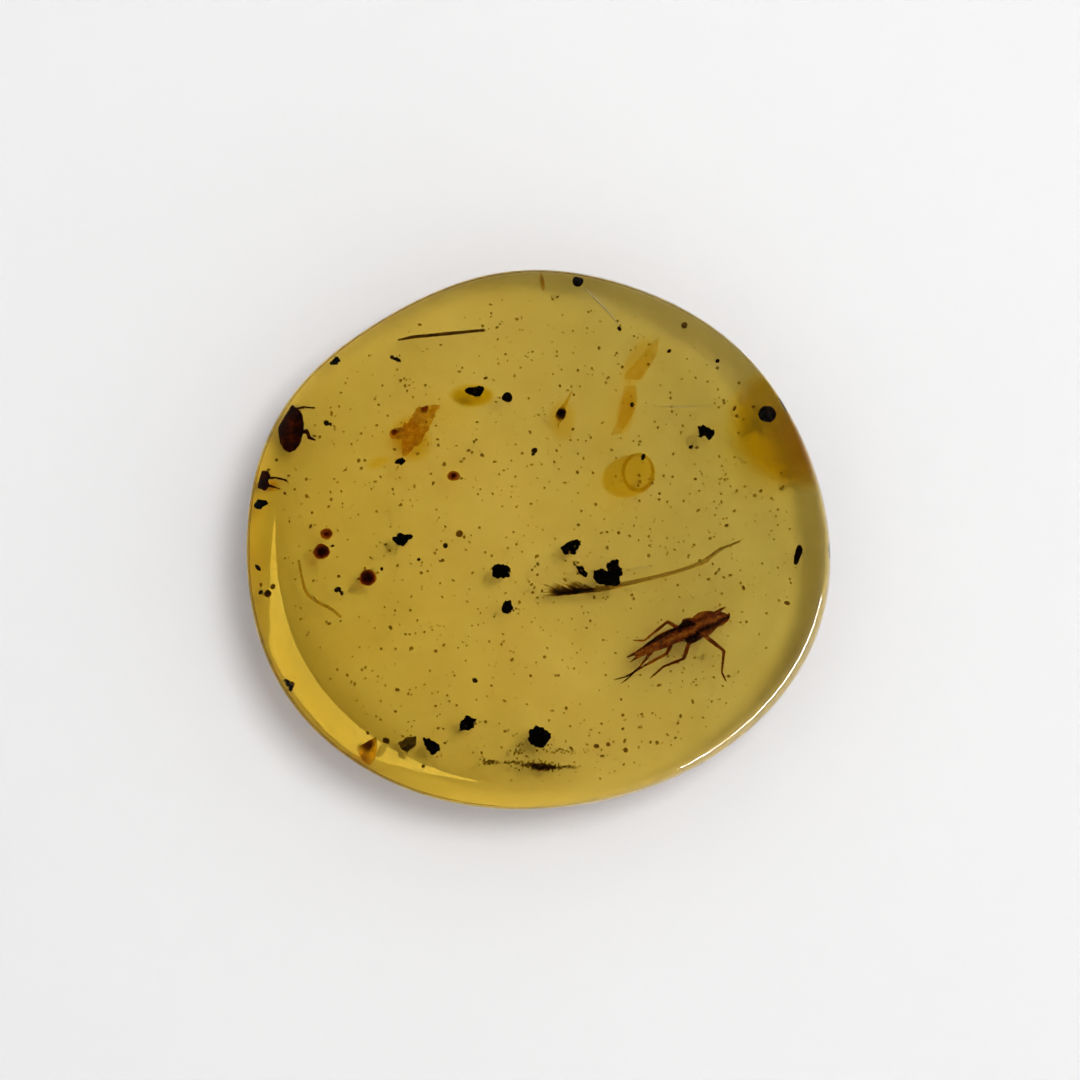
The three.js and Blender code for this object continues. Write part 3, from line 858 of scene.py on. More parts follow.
@dataclass
class WingedInsect:
    """The main insect. In its own frame it heads along +X from the tips of its wings."""

    place: Triple = (4.55, -6.18, 0.9)
    turn: float = 0.443
    stations: tuple[tuple[float, float, float, float], ...] = (
        (0.42, 0.09, 0.07, 0.05),
        (0.75, 0.12, 0.16, 0.12),
        (1.35, 0.14, 0.25, 0.19),
        (2.0, 0.17, 0.31, 0.25),
        (2.65, 0.14, 0.36, 0.3),
        (3.08, 0.09, 0.46, 0.36),
        (3.32, 0.05, 0.66, 0.42),
        (3.7, 0.02, 0.64, 0.44),
        (3.92, 0.02, 0.58, 0.41),
        (4.35, 0.04, 0.63, 0.42),
        (4.72, 0.04, 0.52, 0.36),
        (4.95, 0.0, 0.39, 0.3),
        (5.2, -0.08, 0.37, 0.28),
        (5.48, -0.12, 0.22, 0.18),
    )
    legs: tuple[Points, ...] = (
        [(4.0, -0.4, -0.15), (4.64, -1.66, -0.3), (4.07, -2.63, -0.5), (4.08, -3.15, -0.62)],
        [(3.3, -0.4, -0.2), (2.62, -1.13, -0.35), (1.48, -1.08, -0.6), (0.65, -1.31, -0.72)],
        [(2.45, -0.1, -0.15), (1.94, -0.53, -0.3), (0.5, -0.63, -0.55), (-0.5, -0.72, -0.65),
         (-0.98, -0.62, -0.7)],
        [(1.5, 0.05, -0.1), (1.0, -0.24, -0.15), (0.38, -0.55, -0.25), (-0.45, -0.83, -0.35),
         (-0.82, -0.92, -0.4)],
        [(3.05, 0.35, -0.1), (2.66, 0.93, -0.2), (1.17, 0.56, -0.4), (0.7, 0.8, -0.5)],
    )
    leg_radii: tuple[float, ...] = (0.095, 0.08, 0.05, 0.036, 0.024)
    waist: float = 3.0
    segments: int = 9
    groove: float = 0.07
    eyes: Points = ((4.78, 0.33, 0.16), (4.78, -0.3, 0.16))
    eye_radii: Triple = (0.16, 0.13, 0.13)
    dark_patches: tuple[tuple[float, float, float], ...] = (
        (3.5, 0.5, 0.3), (3.25, 0.42, 0.24), (3.72, -0.52, 0.3), (3.35, -0.4, 0.3),
    )  # x, y and reach
    finish: ChitinFinish = ChitinFinish(
        "chitin", (0.6, 0.23, 0.035), (0.22, 0.05, 0.01), (0.015, 0.003, 0.002), mottling=7.0
    )

    def in_slab(self) -> Matrix:
        """Gives the move from the insect's own frame to the object's."""
        place = Vector(SLAB_SHIFT) + Vector(self.place)
        return Matrix.Translation(place) @ Matrix.Rotation(self.turn, 4, "Z")

    def body(self, shell: Shell) -> None:
        """Adds the body, ringed by segments behind the waist.

        Args:
            shell: What it is added to.
        """
        rows = smooth_route([s[:3] for s in self.stations], 8)
        talls = spread([s[3] for s in self.stations], len(rows))
        route, wides, heights = [], [], []
        for row, tall in zip(rows, talls):
            phase = 2 * math.pi * self.segments * row.x / self.waist
            groove = self.groove * math.cos(phase) ** 8 if row.x < self.waist else 0.0
            route.append(Vector((row.x, row.y, 0)))
            wides.append(row.z * (1 - groove))
            heights.append(tall * (1 - groove))
        shell.tube(route, wides, heights, 28)

    def limbs(self, shell: Shell) -> None:
        """Adds the legs, with thick thighs and knobbed knees, the feeler stub and the jaw.

        Args:
            shell: What they are added to.
        """
        for joints in self.legs:
            for i, (start, end) in enumerate(zip(joints, joints[1:])):
                route = [Vector(start).lerp(Vector(end), t / 10) for t in range(11)]
                thick, thin = self.leg_radii[i], self.leg_radii[i + 1]
                belly = 0.02 if i == 0 else 0.006
                steps = [t / 10 for t in range(11)]
                radii = [thick + (thin - thick) * t + belly * math.sin(math.pi * t) for t in steps]
                shell.tube(route, radii, sides=12)
            tip, before = Vector(joints[-1]), Vector(joints[-2])
            onward = (tip - before).normalized()
            for side in (-1, 1):
                claw = tip + onward * 0.07 + onward.cross(Vector((0, 0, side))) * 0.06
                shell.tube([tip, tip.lerp(claw, 0.5), claw], [0.022, 0.018, 0.008], sides=8)
        feeler = smooth_route([(4.85, 0.22, 0.1), (5.3, 0.32, 0.12), (5.68, 0.35, 0.1)], 5)
        shell.tube(feeler, spread([0.13, 0.09, 0.03], len(feeler)))
        jaw = smooth_route([(5.1, -0.15, 0), (5.45, -0.2, 0), (5.7, -0.04, -0.02)], 5)
        shell.tube(jaw, spread([0.22, 0.18, 0.05], len(jaw)))

    def wings(self, shell: Shell) -> None:
        """Adds the two closed wings, which end past the tail in two prongs.

        Args:
            shell: What they are added to.
        """
        for side, tip in ((1, (0.0, 0.18, 0.06)), (-1, (0.0, -0.12, 0.02))):
            root, middle = (3.2, 0.1 + 0.28 * side, 0.22), (2.0, 0.16 + 0.2 * side, 0.17)
            route = smooth_route([root, middle, (0.8, 0.1 + 0.1 * side, 0.1), tip], 8)
            wides = spread([0.12, 0.2, 0.12, 0.03], len(route))
            shell.tube(route, wides, spread([0.05, 0.08, 0.05, 0.02], len(route)), 12)

    def dark_at(self, x: float, y: float, z: float) -> float:
        """Says how dark the skin is at a place.

        Args:
            x: The place along the body.
            y: The place to its left.
            z: Its height.

        Returns:
            0 for pale, 1 for black.
        """
        shade = 0.44
        if abs(y) > 0.75 or z < -0.45 or x < 0.4:
            return 0.6 + 0.3 * smooth_step((1.2 - x) / 1.8) if x < 2.7 else 0.5
        shade += 0.45 * smooth_step(1 - abs(y - 0.3 - 0.05 * x) / 0.16) * smooth_step((3.2 - x) / 0.5)
        shade += 0.35 * smooth_step(1 - abs(y + 0.2) / 0.2) * smooth_step((x - 3.6) / 0.5)
        for middle_x, middle_y, reach in self.dark_patches:
            shade += 0.5 * smooth_step(1.3 - math.hypot(x - middle_x, y - middle_y) / reach)
        ring = abs(math.hypot(x - 3.4, y - 0.02) - 0.46)
        shade += 0.9 * smooth_step(1.3 - ring / 0.1) * smooth_step((abs(y) - 0.12) / 0.15)
        shade += 0.3 * smooth_step((x - 5.5) / 0.3)
        shade -= 0.17 * math.cos(10.0 * y - 0.5 + 2.5 * noise.noise(Vector((1.3 * x, 2.0 * y, 5.0))))
        return min(max(shade, 0.0), 1.0)

    def bristles(self, piece: Object) -> None:
        """Grows short bristles over the insect, with Geometry Nodes.

        Args:
            piece: The insect.
        """
        density = "Count per square metre"
        tree = GeometryTree("bristles", {density: 9.0e6, "Length": 0.11 * MM, "Seed": 4})
        skin, seed = tree.given["Geometry"], tree.given["Seed"]
        crowd = tree.given[density]
        spots = tree.add("GeometryNodeDistributePointsOnFaces", Mesh=skin, Density=crowd, Seed=seed)
        thick, thin = 0.006 * MM, 0.001 * MM
        hair = tree.add("GeometryNodeMeshCone", Vertices=4, Radius_Top=thin, Radius_Bottom=thick)
        tree.fill(hair.inputs["Depth"], tree.given["Length"])
        lean = tree.add("FunctionNodeRotateEuler", {"rotation_type": "EULER"})
        tree.fill(lean.inputs[0], spots.outputs["Rotation"])
        tree.fill(lean.inputs[1], tree.random((-0.6, -0.6, 0.0), (0.6, 0.6, 0.0), 2))
        grown = tree.add(
            "GeometryNodeInstanceOnPoints", Points=spots.outputs["Points"], Instance=hair.outputs["Mesh"],
            Rotation=lean.outputs[0], Scale=tree.random((0.5, 0.5, 0.4), (1.0, 1.0, 1.0), 3),
        )
        both = tree.add("GeometryNodeJoinGeometry")
        for made in (skin, grown.outputs[0]):
            tree.fill(both.inputs[0], made)
        tree.run_on(piece, both.outputs[0])

    def build(self) -> None:
        """Makes the insect."""
        shell = Shell()
        self.body(shell)
        self.limbs(shell)
        self.wings(shell)
        for eye in self.eyes:
            shell.ball(Vector(eye), self.eye_radii)
        shell.fused(0.022).roughened(0.018, 6.0)
        shades = [self.dark_at(*point) for point in shell.points]
        piece = shell.moved(self.in_slab()).to_object("winged_insect_detail", self.finish.build())
        paint(piece, "dark", shades)
        self.bristles(piece)
        deliver(piece, Slot.CHITIN, "winged_insect")


# The other things in the amber


@dataclass
class SmallBeasts:
    """The beetle and the torn midge at the slab's left edge."""

    voxels: tuple[tuple[str, float], ...] = (("beetle", 0.025), ("torn_midge", 0.022))
    finish: ChitinFinish = ChitinFinish(
        "dark_chitin", (0.16, 0.022, 0.004), (0.045, 0.006, 0.002), (0.006, 0.001, 0.001), 0.25
    )

    def build(self) -> None:
        """Makes both."""
        material = self.finish.build()
        for node, voxel in self.voxels:
            shell = from_node(node).fused(voxel, 4).roughened(0.03, 4.0, voxel)
            piece = shell.to_object(f"{node}_detail", material)
            paint(piece, "dark", [0.55 + 0.4 * noise.noise(point * 1.7) for point in shell.points])
            deliver(piece, Slot.DARK_CHITIN, node)


class Matter(Enum):
    """Kinds of loose matter in the amber, each with its slot and finish."""

    CHARRED = (
        Slot.CHARRED,
        GrainFinish("charred", (0.0004, 0.0003, 0.0003), (0.005, 0.003, 0.002), refraction=1.06),
    )
    DARK_RESIN = (
        Slot.RESIN,
        GrainFinish("resin", (0.002, 0.001, 0.0005), (0.014, 0.006, 0.002), refraction=1.06),
    )
    SOFT_RESIN = (
        Slot.RESIN,
        GrainFinish(
            "soft_resin", (0.9, 0.65, 0.3), (0.7, 0.4, 0.12), (0.09, 0.03, 0.005), 1.0, (0.45, 0.2, 0.03),
            roughness=0.3, refraction=1.03,
        ),
    )
    RING_RESIN = (
        Slot.RESIN,
        GrainFinish(
            "ring_resin", (0.98, 0.9, 0.6), (0.92, 0.8, 0.4), clearness=1.0, depth_tint=(0.82, 0.62, 0.1),
            roughness=0.1, refraction=1.01,
        ),
    )
    OLIVE = (
        Slot.RESIN,
        GrainFinish("olive", (0.2, 0.17, 0.06), (0.07, 0.055, 0.012), clearness=0.8, graininess=2.0),
    )
    STEM = (
        Slot.STEM,
        GrainFinish("stem", (0.05, 0.02, 0.004), (0.2, 0.11, 0.025), clearness=0.6, graininess=9.0),
    )
    HAIR = (
        Slot.STEM,
        GrainFinish(
            "hair", (0.75, 0.6, 0.25), (0.55, 0.4, 0.12), clearness=1.0, roughness=0.2, refraction=1.04
        ),
    )
    SEED = (
        Slot.STEM,
        GrainFinish(
            "seed", (0.97, 0.9, 0.6), (0.85, 0.7, 0.3), (0.012, 0.004, 0.001), 1.0, (0.85, 0.62, 0.2),
            roughness=0.2, refraction=1.02,
        ),
    )
    LEAF = (
        Slot.SCRAP,
        GrainFinish(
            "leaf_scrap", (1.0, 0.92, 0.6), (0.68, 0.4, 0.05), (0.2, 0.04, 0.004), 0.98, (0.88, 0.7, 0.12),
            roughness=0.25, refraction=1.015, graininess=3.5,
        ),
    )
    BUD = (
        Slot.SCRAP,
        GrainFinish(
            "bud_scale", (1.0, 0.97, 0.85), (0.95, 0.86, 0.6), clearness=1.0, depth_tint=(0.92, 0.78, 0.35),
            roughness=0.1, refraction=1.01, graininess=2.0,
        ),
    )
    PETAL = (
        Slot.SCRAP,
        GrainFinish(
            "petal", (1.0, 0.87, 0.4), (0.9, 0.66, 0.2), (0.09, 0.02, 0.004), 1.0, (0.62, 0.4, 0.02),
            roughness=0.2, refraction=1.02, graininess=1.5,
        ),
    )


@dataclass(frozen=True)
class Likeness:
    """How one CAD node's solid is turned into a natural surface."""

    node: str
    matter: Matter
    voxel: float = 0.03
    relief: float = 0.06
    scale: float = 3.0
    smoothing: int = 2
    growth: float = 0.0
    dark_spots: tuple[Triple, ...] = ()  # x, y and reach
    lobes: tuple[tuple[Points, tuple[float, ...]], ...] = ()  # routes and half widths


@dataclass
class LooseMatter:
    """The crumbs, drops, scraps and plant things, each grown over its CAD solid."""

    crumbs: int = 17
    core_reaches: tuple[float | None, ...] = (None, 0.16, 0.12, 0.3, 0.33, None, None, None)

    def likenesses(self) -> list[Likeness]:
        """Lists what is made.

        Returns:
            One entry for each CAD node.
        """
        made = [
            Likeness(f"charred_crumb_{i + 1}", Matter.CHARRED, relief=0.11, scale=5.0, smoothing=1)
            for i in range(self.crumbs)
        ]
        for i, core in enumerate(self.core_reaches):
            node = f"resin_drop_{i + 1}"
            x, y, _ = (sum(axis) / 8 for axis in zip(*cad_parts[node].bound_box))
            spots = ((x / MM - SLAB_SHIFT[0], y / MM - SLAB_SHIFT[1], core),) if core else ()
            matter = Matter.SOFT_RESIN if core else Matter.DARK_RESIN
            made.append(Likeness(node, matter, relief=0.05, smoothing=12, growth=0.03, dark_spots=spots))
        return made + [
            Likeness("olive_chip", Matter.OLIVE),
            Likeness("resin_ring", Matter.RING_RESIN, relief=0.02),
            Likeness("tailed_seed", Matter.SEED, 0.02, 0.03, dark_spots=((1.1, 6.5, 0.34),)),
            Likeness("plant_stick", Matter.STEM, 0.02, 0.015, 6.0, growth=0.02),
            Likeness("curved_hair", Matter.HAIR, 0.02, 0.01, 6.0, growth=0.035),
            Likeness(
                "leaf_scrap", Matter.LEAF, 0.025, 0.09, 3.0,
                dark_spots=((-5.95, 6.75, 0.2), (-7.5, 5.55, 0.2)),
                lobes=(([(-6.5, 5.9, 0.0), (-6.7, 5.2, 0.0), (-6.98, 4.35, 0.0)], (0.5, 0.45, 0.14)),),
            ),
            Likeness("upper_bud_scale", Matter.BUD, 0.025, 0.03),
            Likeness("lower_bud_scale", Matter.BUD, 0.025, 0.03),
            Likeness("petal_scrap", Matter.PETAL, 0.025, 0.03, dark_spots=((-8.85, -10.45, 0.42),)),
        ]

    def build(self) -> None:
        """Makes them all."""
        materials = {matter: matter.value[1].build() for matter in Matter}
        for number, like in enumerate(self.likenesses()):
            shell = from_node(like.node)
            level = sum(point.z for point in shell.points) / len(shell.points)
            for points, wides in like.lobes:
                route = [p + Vector(SLAB_SHIFT) for p in smooth_route(points, 6)]
                for point in route:
                    point.z = level
                shell.tube(route, spread(list(wides), len(route)), [0.07] * len(route), 12)
            shell.fused(like.voxel, like.smoothing)
            shell.roughened(like.relief, like.scale, 1.7 * number, like.growth)
            piece = shell.to_object(f"{like.node}_detail", materials[like.matter])
            paint(piece, "dark", [self.darkness(point, like.dark_spots) for point in shell.points])
            deliver(piece, like.matter.value[0], like.node)

    @staticmethod
    def darkness(point: Vector, spots: tuple[Triple, ...]) -> float:
        """Says how dark a piece is at a place.

        Args:
            point: The place.
            spots: The dark spots, each its x, y and reach.

        Returns:
            0 for the plain finish, 1 for its dark colour.
        """
        shade = 0.0
        for x, y, reach in spots:
            away = math.hypot(point.x - SLAB_SHIFT[0] - x, point.y - SLAB_SHIFT[1] - y)
            away += 0.12 * noise.noise(point * 4.0)
            shade = max(shade, smooth_step(1.35 - away / reach))
        return shade


@dataclass
class FrayedPlume:
    """The long plant fibre, with a frayed tuft at its thick end."""

    height: float = 0.3
    route: tuple[Pair, ...] = (
        (0.9, -2.84), (1.9, -2.68), (3.1, -2.52), (4.2, -2.3), (5.6, -1.98), (6.9, -1.66), (8.3, -1.18),
        (8.72, -0.9), (9.4, -0.42), (10.3, -0.07),
    )
    radii: tuple[float, ...] = (0.04, 0.1, 0.13, 0.13, 0.12, 0.11, 0.1, 0.1, 0.13, 0.09, 0.06, 0.04)
    strands: int = 190
    finish: GrainFinish = GrainFinish(
        "plume", (0.75, 0.6, 0.35), (0.35, 0.26, 0.11), (0.26, 0.17, 0.03), 0.95,
        roughness=0.3, refraction=1.02, graininess=7.0,
    )

    def build(self) -> None:
        """Makes the plume."""
        shell = Shell()
        stem = smooth_route([(x, y, self.height) for x, y in self.route], 8)
        shell.tube(stem, spread(list(self.radii), len(stem)))
        dice = np.random.default_rng(11)
        for _ in range(self.strands):
            root_x = dice.uniform(1.0, 2.9)
            root = Vector((root_x, -2.68 + 0.11 * (root_x - 1.9), self.height + dice.uniform(-0.05, 0.05)))
            fan = dice.uniform(0.0, 1.0) ** 1.3
            aside = dice.uniform(-0.12, 0.62 * min(fan + 0.2, 0.9))
            tip = root + Vector((-0.15 - 0.9 * fan, aside, dice.uniform(-0.1, 0.25)))
            bend = root.lerp(tip, 0.5) + Vector((0, dice.uniform(-0.08, 0.08), 0))
            strand = smooth_route([tuple(root), tuple(bend), tuple(tip)], 5)
            shell.tube(strand, spread([0.022, 0.02, 0.008], len(strand)), sides=6)
        for side in (-1, 1):
            start = 9.0 + 0.3 * side
            root, middle = (start, -0.62 + 0.2 * side), (start + 0.6, -0.3 + 0.1 * side)
            tip = (start + 1.2, -0.1 + 0.18 * side, self.height - 0.05)
            strand = smooth_route([(*root, self.height), (*middle, self.height), tip], 6)
            shell.tube(strand, spread([0.02, 0.035, 0.01], len(strand)), sides=6)
        ways = [p.x for p in shell.points]
        shades = [0.85 * smooth_step((3.1 - x) / 1.6) + 0.35 * smooth_step((5.5 - x) / 2.0) for x in ways]
        shell.moved(Matrix.Translation(SLAB_SHIFT))
        piece = shell.to_object("frayed_plume_detail", self.finish.build())
        paint(piece, "dark", [min(shade, 1.0) for shade in shades])
        deliver(piece, Slot.STEM, "frayed_plume")


class Haze(Enum):
    """Finishes of the specks, from faint to black."""

    FAINT = GrainFinish(
        "faint_dust", (0.42, 0.3, 0.13), (0.18, 0.11, 0.035), clearness=0.85, roughness=0.3, refraction=1.05
    )
    BROWN = GrainFinish("brown_dust", (0.3, 0.18, 0.06), (0.1, 0.05, 0.015), clearness=0.6)
    OLIVE = GrainFinish("smudge", (0.36, 0.27, 0.1), (0.16, 0.12, 0.035), clearness=0.9, refraction=1.02)
    BLACK = GrainFinish("black_dust", (0.003, 0.002, 0.001), (0.03, 0.015, 0.006))


@dataclass
class Dust:
    """Hundreds of specks, too small to be CAD nodes, turned into lumpy grains by Geometry Nodes."""

    faint_count: int = 1250
    faint_size: Pair = (0.03, 0.1)
    brown_count: int = 150
    brown_size: Pair = (0.035, 0.1)
    reach: Triple = (13.4, 12.6, 2.0)
    black_height: float = 1.6
    black_growth: float = 1.35
    black_specks: tuple[Triple, ...] = (
        (-0.28, 4.58, 0.14), (-10.93, 5.98, 0.13), (-10.73, 5.92, 0.08), (-3.34, 7.6, 0.08),
        (-6.21, -1.0, 0.09), (-0.35, 4.4, 0.08), (5.28, 4.25, 0.12), (4.71, 6.93, 0.12),
        (-4.84, -0.29, 0.13), (-3.34, -7.19, 0.14), (-14.42, -1.42, 0.12), (7.72, 4.76, 0.1),
        (-14.28, -2.68, 0.12), (-8.1, -1.48, 0.09), (4.06, 10.81, 0.12), (9.08, 9.16, 0.1),
        (6.61, 9.67, 0.09), (-10.62, -0.3, 0.07), (-10.43, -2.57, 0.09), (-10.15, -2.72, 0.1),
        (-7.58, 9.36, 0.08),
    )  # x, y and half size
    brown_height: float = 0.6
    brown_growth: float = 1.3
    brown_specks: tuple[Triple, ...] = (
        (-4.14, 0.32, 0.14), (-3.9, 0.14, 0.07), (-8.85, -9.9, 0.07), (-12.7, -7.35, 0.14),
        (-7.9, -10.3, 0.12), (-6.0, -11.6, 0.09), (7.4, 11.0, 0.13), (9.7, -7.0, 0.09),
        (-7.34, -7.7, 0.12), (-13.95, -2.75, 0.16), (-13.7, -2.4, 0.1), (-14.3, -2.3, 0.08),
        (3.5, -10.5, 0.12), (2.9, -10.6, 0.09), (10.0, 6.76, 0.1), (7.08, -2.32, 0.08),
        (12.7, -3.24, 0.1), (-13.9, 3.6, 0.1), (-13.5, 4.1, 0.07), (-12.9, 3.3, 0.06),
        (-13.1, 2.4, 0.06), (-12.6, 2.6, 0.05), (4.4, -10.8, 0.09), (3.2, -11.1, 0.08),
        (1.6, -10.7, 0.08), (4.26, -9.0, 0.07), (4.26, -9.7, 0.07),
    )
    smudge: tuple[tuple[float, float, float, float, int], ...] = (
        (-2.6, -11.45, 0.45, 0.12, 60), (-1.6, -11.45, 0.9, 0.07, 80), (-0.4, -11.6, 0.7, 0.16, 150),
        (0.3, -11.72, 0.6, 0.14, 320), (1.4, -11.7, 0.7, 0.08, 60), (-1.1, -10.9, 0.25, 0.3, 40),
        (0.9, -10.9, 1.2, 0.16, 50),
    )  # x, y, width, height and number of specks
    hairs: tuple[tuple[Points, float], ...] = (
        ([(2.24, 12.92, 1.0), (3.3, 11.9, 0.9), (4.04, 11.06, 0.8)], 0.05),
        ([(5.3, 6.95, 0.6), (7.0, 6.86, 0.6), (8.8, 6.92, 0.6)], 0.035),
        ([(4.43, -1.54, 0.7), (5.2, -1.4, 0.7), (5.94, -1.3, 0.7)], 0.035),
        ([(-12.0, 6.75, 0.4), (-12.6, 6.85, 0.4), (-13.2, 6.8, 0.4)], 0.025),
    )  # routes and half widths

    @staticmethod
    def strew(name: str, spots: Spots, haze: Haze, hairs: Shell | None = None) -> None:
        """Turns spots into grains of one kind.

        Args:
            name: The piece's name.
            spots: Each speck's place and half size.
            haze: What they are made of.
            hairs: What else belongs to the piece.
        """
        tree = GeometryTree(name, {"Lumpiness": 0.05 * MM, "Seed": len(spots)})
        points = tree.add("GeometryNodeMeshToPoints", Mesh=tree.given["Geometry"])
        speck = tree.add("GeometryNodeMeshIcoSphere", Radius=1.0, Subdivisions=2)
        size = tree.add("GeometryNodeInputNamedAttribute", {"data_type": "FLOAT"}, Name="size")
        uneven = tree.random((0.6, 0.6, 0.5), (1.5, 1.1, 1.0), 6)
        placed = tree.add(
            "GeometryNodeInstanceOnPoints", Points=points.outputs[0], Instance=speck.outputs["Mesh"],
            Rotation=tree.random((0.0, 0.0, 0.0), (6.28, 6.28, 6.28), 7),
            Scale=tree.scaled(uneven, size.outputs["Attribute"]),
        )
        real = tree.add("GeometryNodeRealizeInstances", Geometry=placed.outputs[0])
        lumps = tree.add("ShaderNodeTexNoise", Scale=9000.0, Detail=2.0)
        centred = tree.add("ShaderNodeVectorMath", {"operation": "SUBTRACT"})
        tree.fill(centred.inputs[0], lumps.outputs["Color"])
        tree.fill(centred.inputs[1], (0.5, 0.5, 0.5))
        small = tree.scaled(centred.outputs["Vector"], tree.given["Lumpiness"])
        rough = tree.add("GeometryNodeSetPosition", Geometry=real.outputs[0], Offset=small)
        material = haze.value.build()
        seeds = Shell()
        seeds.points = [place + Vector(SLAB_SHIFT) for place, _ in spots]
        piece = seeds.to_object(name, material)
        paint(piece, "size", [half * MM for _, half in spots])
        tree.run_on(piece, rough.outputs[0])
        if hairs:
            work = bmesh.new()
            work.from_mesh(piece.data)
            extra = hairs.to_object("hairs", material)
            work.from_mesh(extra.data)
            work.to_mesh(piece.data)
            work.free()
            bpy.data.objects.remove(extra)
        deliver(piece, Slot.RESIN)

    def scattered(self, count: int, size: Pair, seed: int) -> Spots:
        """Draws specks over the whole slab, more of them small than large.

        Args:
            count: How many.
            size: The smallest and largest half size.
            seed: The seed.

        Returns:
            Each speck's place and half size.
        """
        dice = np.random.default_rng(seed)
        spots = []
        for _ in range(count):
            turn, out = dice.uniform(0, 2 * math.pi), math.sqrt(dice.uniform())
            place = Vector((out * math.cos(turn), out * math.sin(turn), dice.uniform(-1, 1)))
            half = size[0] + (size[1] - size[0]) * dice.uniform() ** 2
            spots.append((Vector(a * b for a, b in zip(place, self.reach)), half))
        return spots

    def smudged(self) -> Spots:
        """Draws the fine specks of the smudge near the slab's bottom edge.

        Returns:
            Each speck's place and half size.
        """
        dice = np.random.default_rng(5)
        spots = []
        for x, y, wide, tall, count in self.smudge:
            for _ in range(count):
                aside, along = wide * dice.normal() / 1.6, tall * dice.normal() / 1.6
                place = Vector((x + aside, y + along, dice.uniform(-0.3, 0.3)))
                spots.append((place, dice.uniform(0.02, 0.06)))
        return spots

    def build(self) -> None:
        """Makes every kind."""
        lines = Shell()
        for route, radius in self.hairs:
            line = smooth_route(route, 8)
            lines.tube(line, spread([0.5 * radius, radius, 0.5 * radius], len(line)), sides=6)
        lines.moved(Matrix.Translation(SLAB_SHIFT))
        faint = self.scattered(self.faint_count, self.faint_size, 3)
        brown = self.scattered(self.brown_count, self.brown_size, 8)
        brown += self.lifted(self.brown_specks, self.brown_height, self.brown_growth)
        black = self.lifted(self.black_specks, self.black_height, self.black_growth)
        self.strew("fine_dust", faint, Haze.FAINT, lines)
        self.strew("coarse_dust", brown, Haze.BROWN)
        self.strew("smudge", self.smudged(), Haze.OLIVE)
        self.strew("black_specks", black, Haze.BLACK)

    @staticmethod
    def lifted(specks: tuple[Triple, ...], height: float, growth: float) -> Spots:
        """Places given specks at one height.

        Args:
            specks: Their places across the slab and half sizes.
            height: The height.
            growth: How many times larger they become.

        Returns:
            Each speck's place and half size.
        """
        return [(Vector((x, y, height)), growth * half) for x, y, half in specks]


# The studio


@dataclass(frozen=True)
class Panel:
    """An upright panel of light that faces the slab."""

    place: Triple
    size: Pair
    power: float  # in watts

    def hang(self, name: str) -> Object:
        """Hangs it.

        Args:
            name: Its name.

        Returns:
            The light.
        """
        data = bpy.data.lights.new(name, "AREA")
        data.shape, data.energy = "RECTANGLE", self.power
        data.size, data.size_y = (side * MM for side in self.size)
        light = bpy.data.objects.new(name, data)
        light.location = Vector(self.place) * MM
        light.rotation_euler = (-light.location).to_track_quat("-Z", "Y").to_euler()
        bpy.context.collection.objects.link(light)
        return light


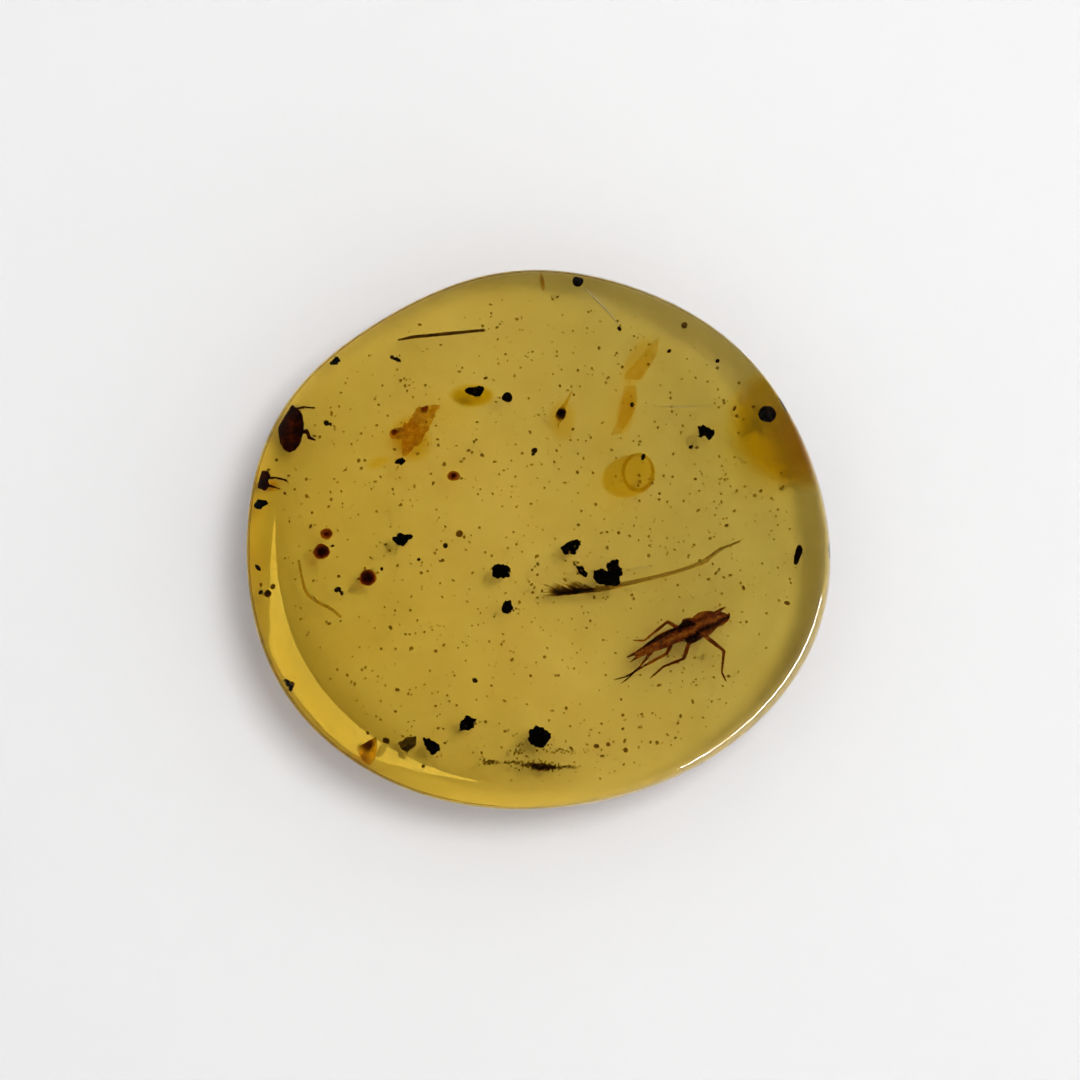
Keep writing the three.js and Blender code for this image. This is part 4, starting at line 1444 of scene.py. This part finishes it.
@dataclass
class Studio:
    """A plain pale floor, soft light from the right, and the photo's camera straight above."""

    floor_reach: float = 900.0
    floor_gap: float = 0.03
    floor_tone: float = 0.92
    brighter_side: Triple = (0.5, 0.4, 0.77)
    dim: float = 0.2
    bright: float = 0.68
    overhead: Pair = (0.93, 0.978)  # heights in the sky, from the horizon's 0, between which it grows dark
    overhead_share: float = 0.02
    window: Panel = Panel((75, 60, 280), (100, 100), 0.4)
    lamp: Panel = Panel((250, -188, 110), (300, 40), 2.5)
    camera_height: float = 158.4
    lens: float = 100.0
    noise_limit: float = 0.1
    fewest_samples: int = 12
    bounces: int = 20
    clear_bounces: int = 16

    def floor(self) -> None:
        """Lays the floor."""
        graph = ShaderGraph("floor")
        graph.set(Roughness=0.9)
        tone = self.floor_tone
        pale = graph.ramp(graph.noise(0.02, 2.0), {0.3: (tone, tone, tone), 0.7: (tone * 1.02,) * 3})
        graph.set(Base_Color=pale)
        reach, height = self.floor_reach * MM, -self.floor_gap * MM
        corners = ((-1, -1), (1, -1), (1, 1), (-1, 1))
        mesh = bpy.data.meshes.new("floor")
        mesh.from_pydata([(x * reach, y * reach, height) for x, y in corners], [], [(0, 1, 2, 3)])
        mesh.materials.append(graph.material)
        floor = bpy.data.objects.new("floor", mesh)
        bpy.context.collection.objects.link(floor)

    def light(self) -> None:
        """Hangs the soft light: an even room, dark overhead, and a large panel at the right."""
        world = bpy.data.worlds.new("studio")
        bpy.context.scene.world = world
        world.use_nodes = True
        graph = NodeGraph(world.node_tree)
        background = graph.tree.nodes["Background"]
        background.inputs["Color"].default_value = (1.0, 1.0, 1.0, 1.0)
        direction = graph.add("ShaderNodeTexCoord").outputs["Generated"]
        height = graph.add("ShaderNodeSeparateXYZ", Vector=direction).outputs["Z"]
        toward = graph.add("ShaderNodeVectorMath", {"operation": "DOT_PRODUCT"})
        graph.fill(toward.inputs[0], direction)
        graph.fill(toward.inputs[1], self.brighter_side)
        side = graph.eased(toward.outputs["Value"], (-1.0, 1.0), (self.dim, self.bright))
        overhead = graph.eased(height, self.overhead, (1.0, self.overhead_share))
        graph.fill(background.inputs["Strength"], graph.maths("MULTIPLY", side, overhead))
        self.window.hang("window").visible_glossy = False
        lamp = self.lamp.hang("lamp")
        lamp.visible_diffuse = lamp.visible_transmission = False
        bpy.context.scene.view_settings.view_transform = "Standard"

    def camera(self) -> None:
        """Sets up the camera."""
        data = bpy.data.cameras.new("camera")
        data.lens = self.lens
        data.clip_start, data.clip_end = 0.01, 10.0
        camera = bpy.data.objects.new("camera", data)
        camera.location = (SLAB_SHIFT[0] * MM, SLAB_SHIFT[1] * MM, self.camera_height * MM)
        bpy.context.collection.objects.link(camera)
        scene = bpy.context.scene
        scene.camera = camera
        scene.cycles.adaptive_threshold = self.noise_limit
        scene.cycles.adaptive_min_samples = self.fewest_samples
        scene.cycles.max_bounces = self.bounces
        scene.cycles.blur_glossy = 0.0
        scene.cycles.transmission_bounces = scene.cycles.transparent_max_bounces = self.clear_bounces

    def build(self) -> None:
        """Sets up the floor, the light and the camera."""
        self.floor()
        self.light()
        self.camera()


def main() -> None:
    """Builds every piece and the studio."""
    logging.basicConfig(level=logging.INFO, format="%(name)s: %(message)s")
    Slab().build()
    WingedInsect().build()
    SmallBeasts().build()
    FrayedPlume().build()
    LooseMatter().build()
    Dust().build()
    Studio().build()


if __name__ == "__main__":
    main()
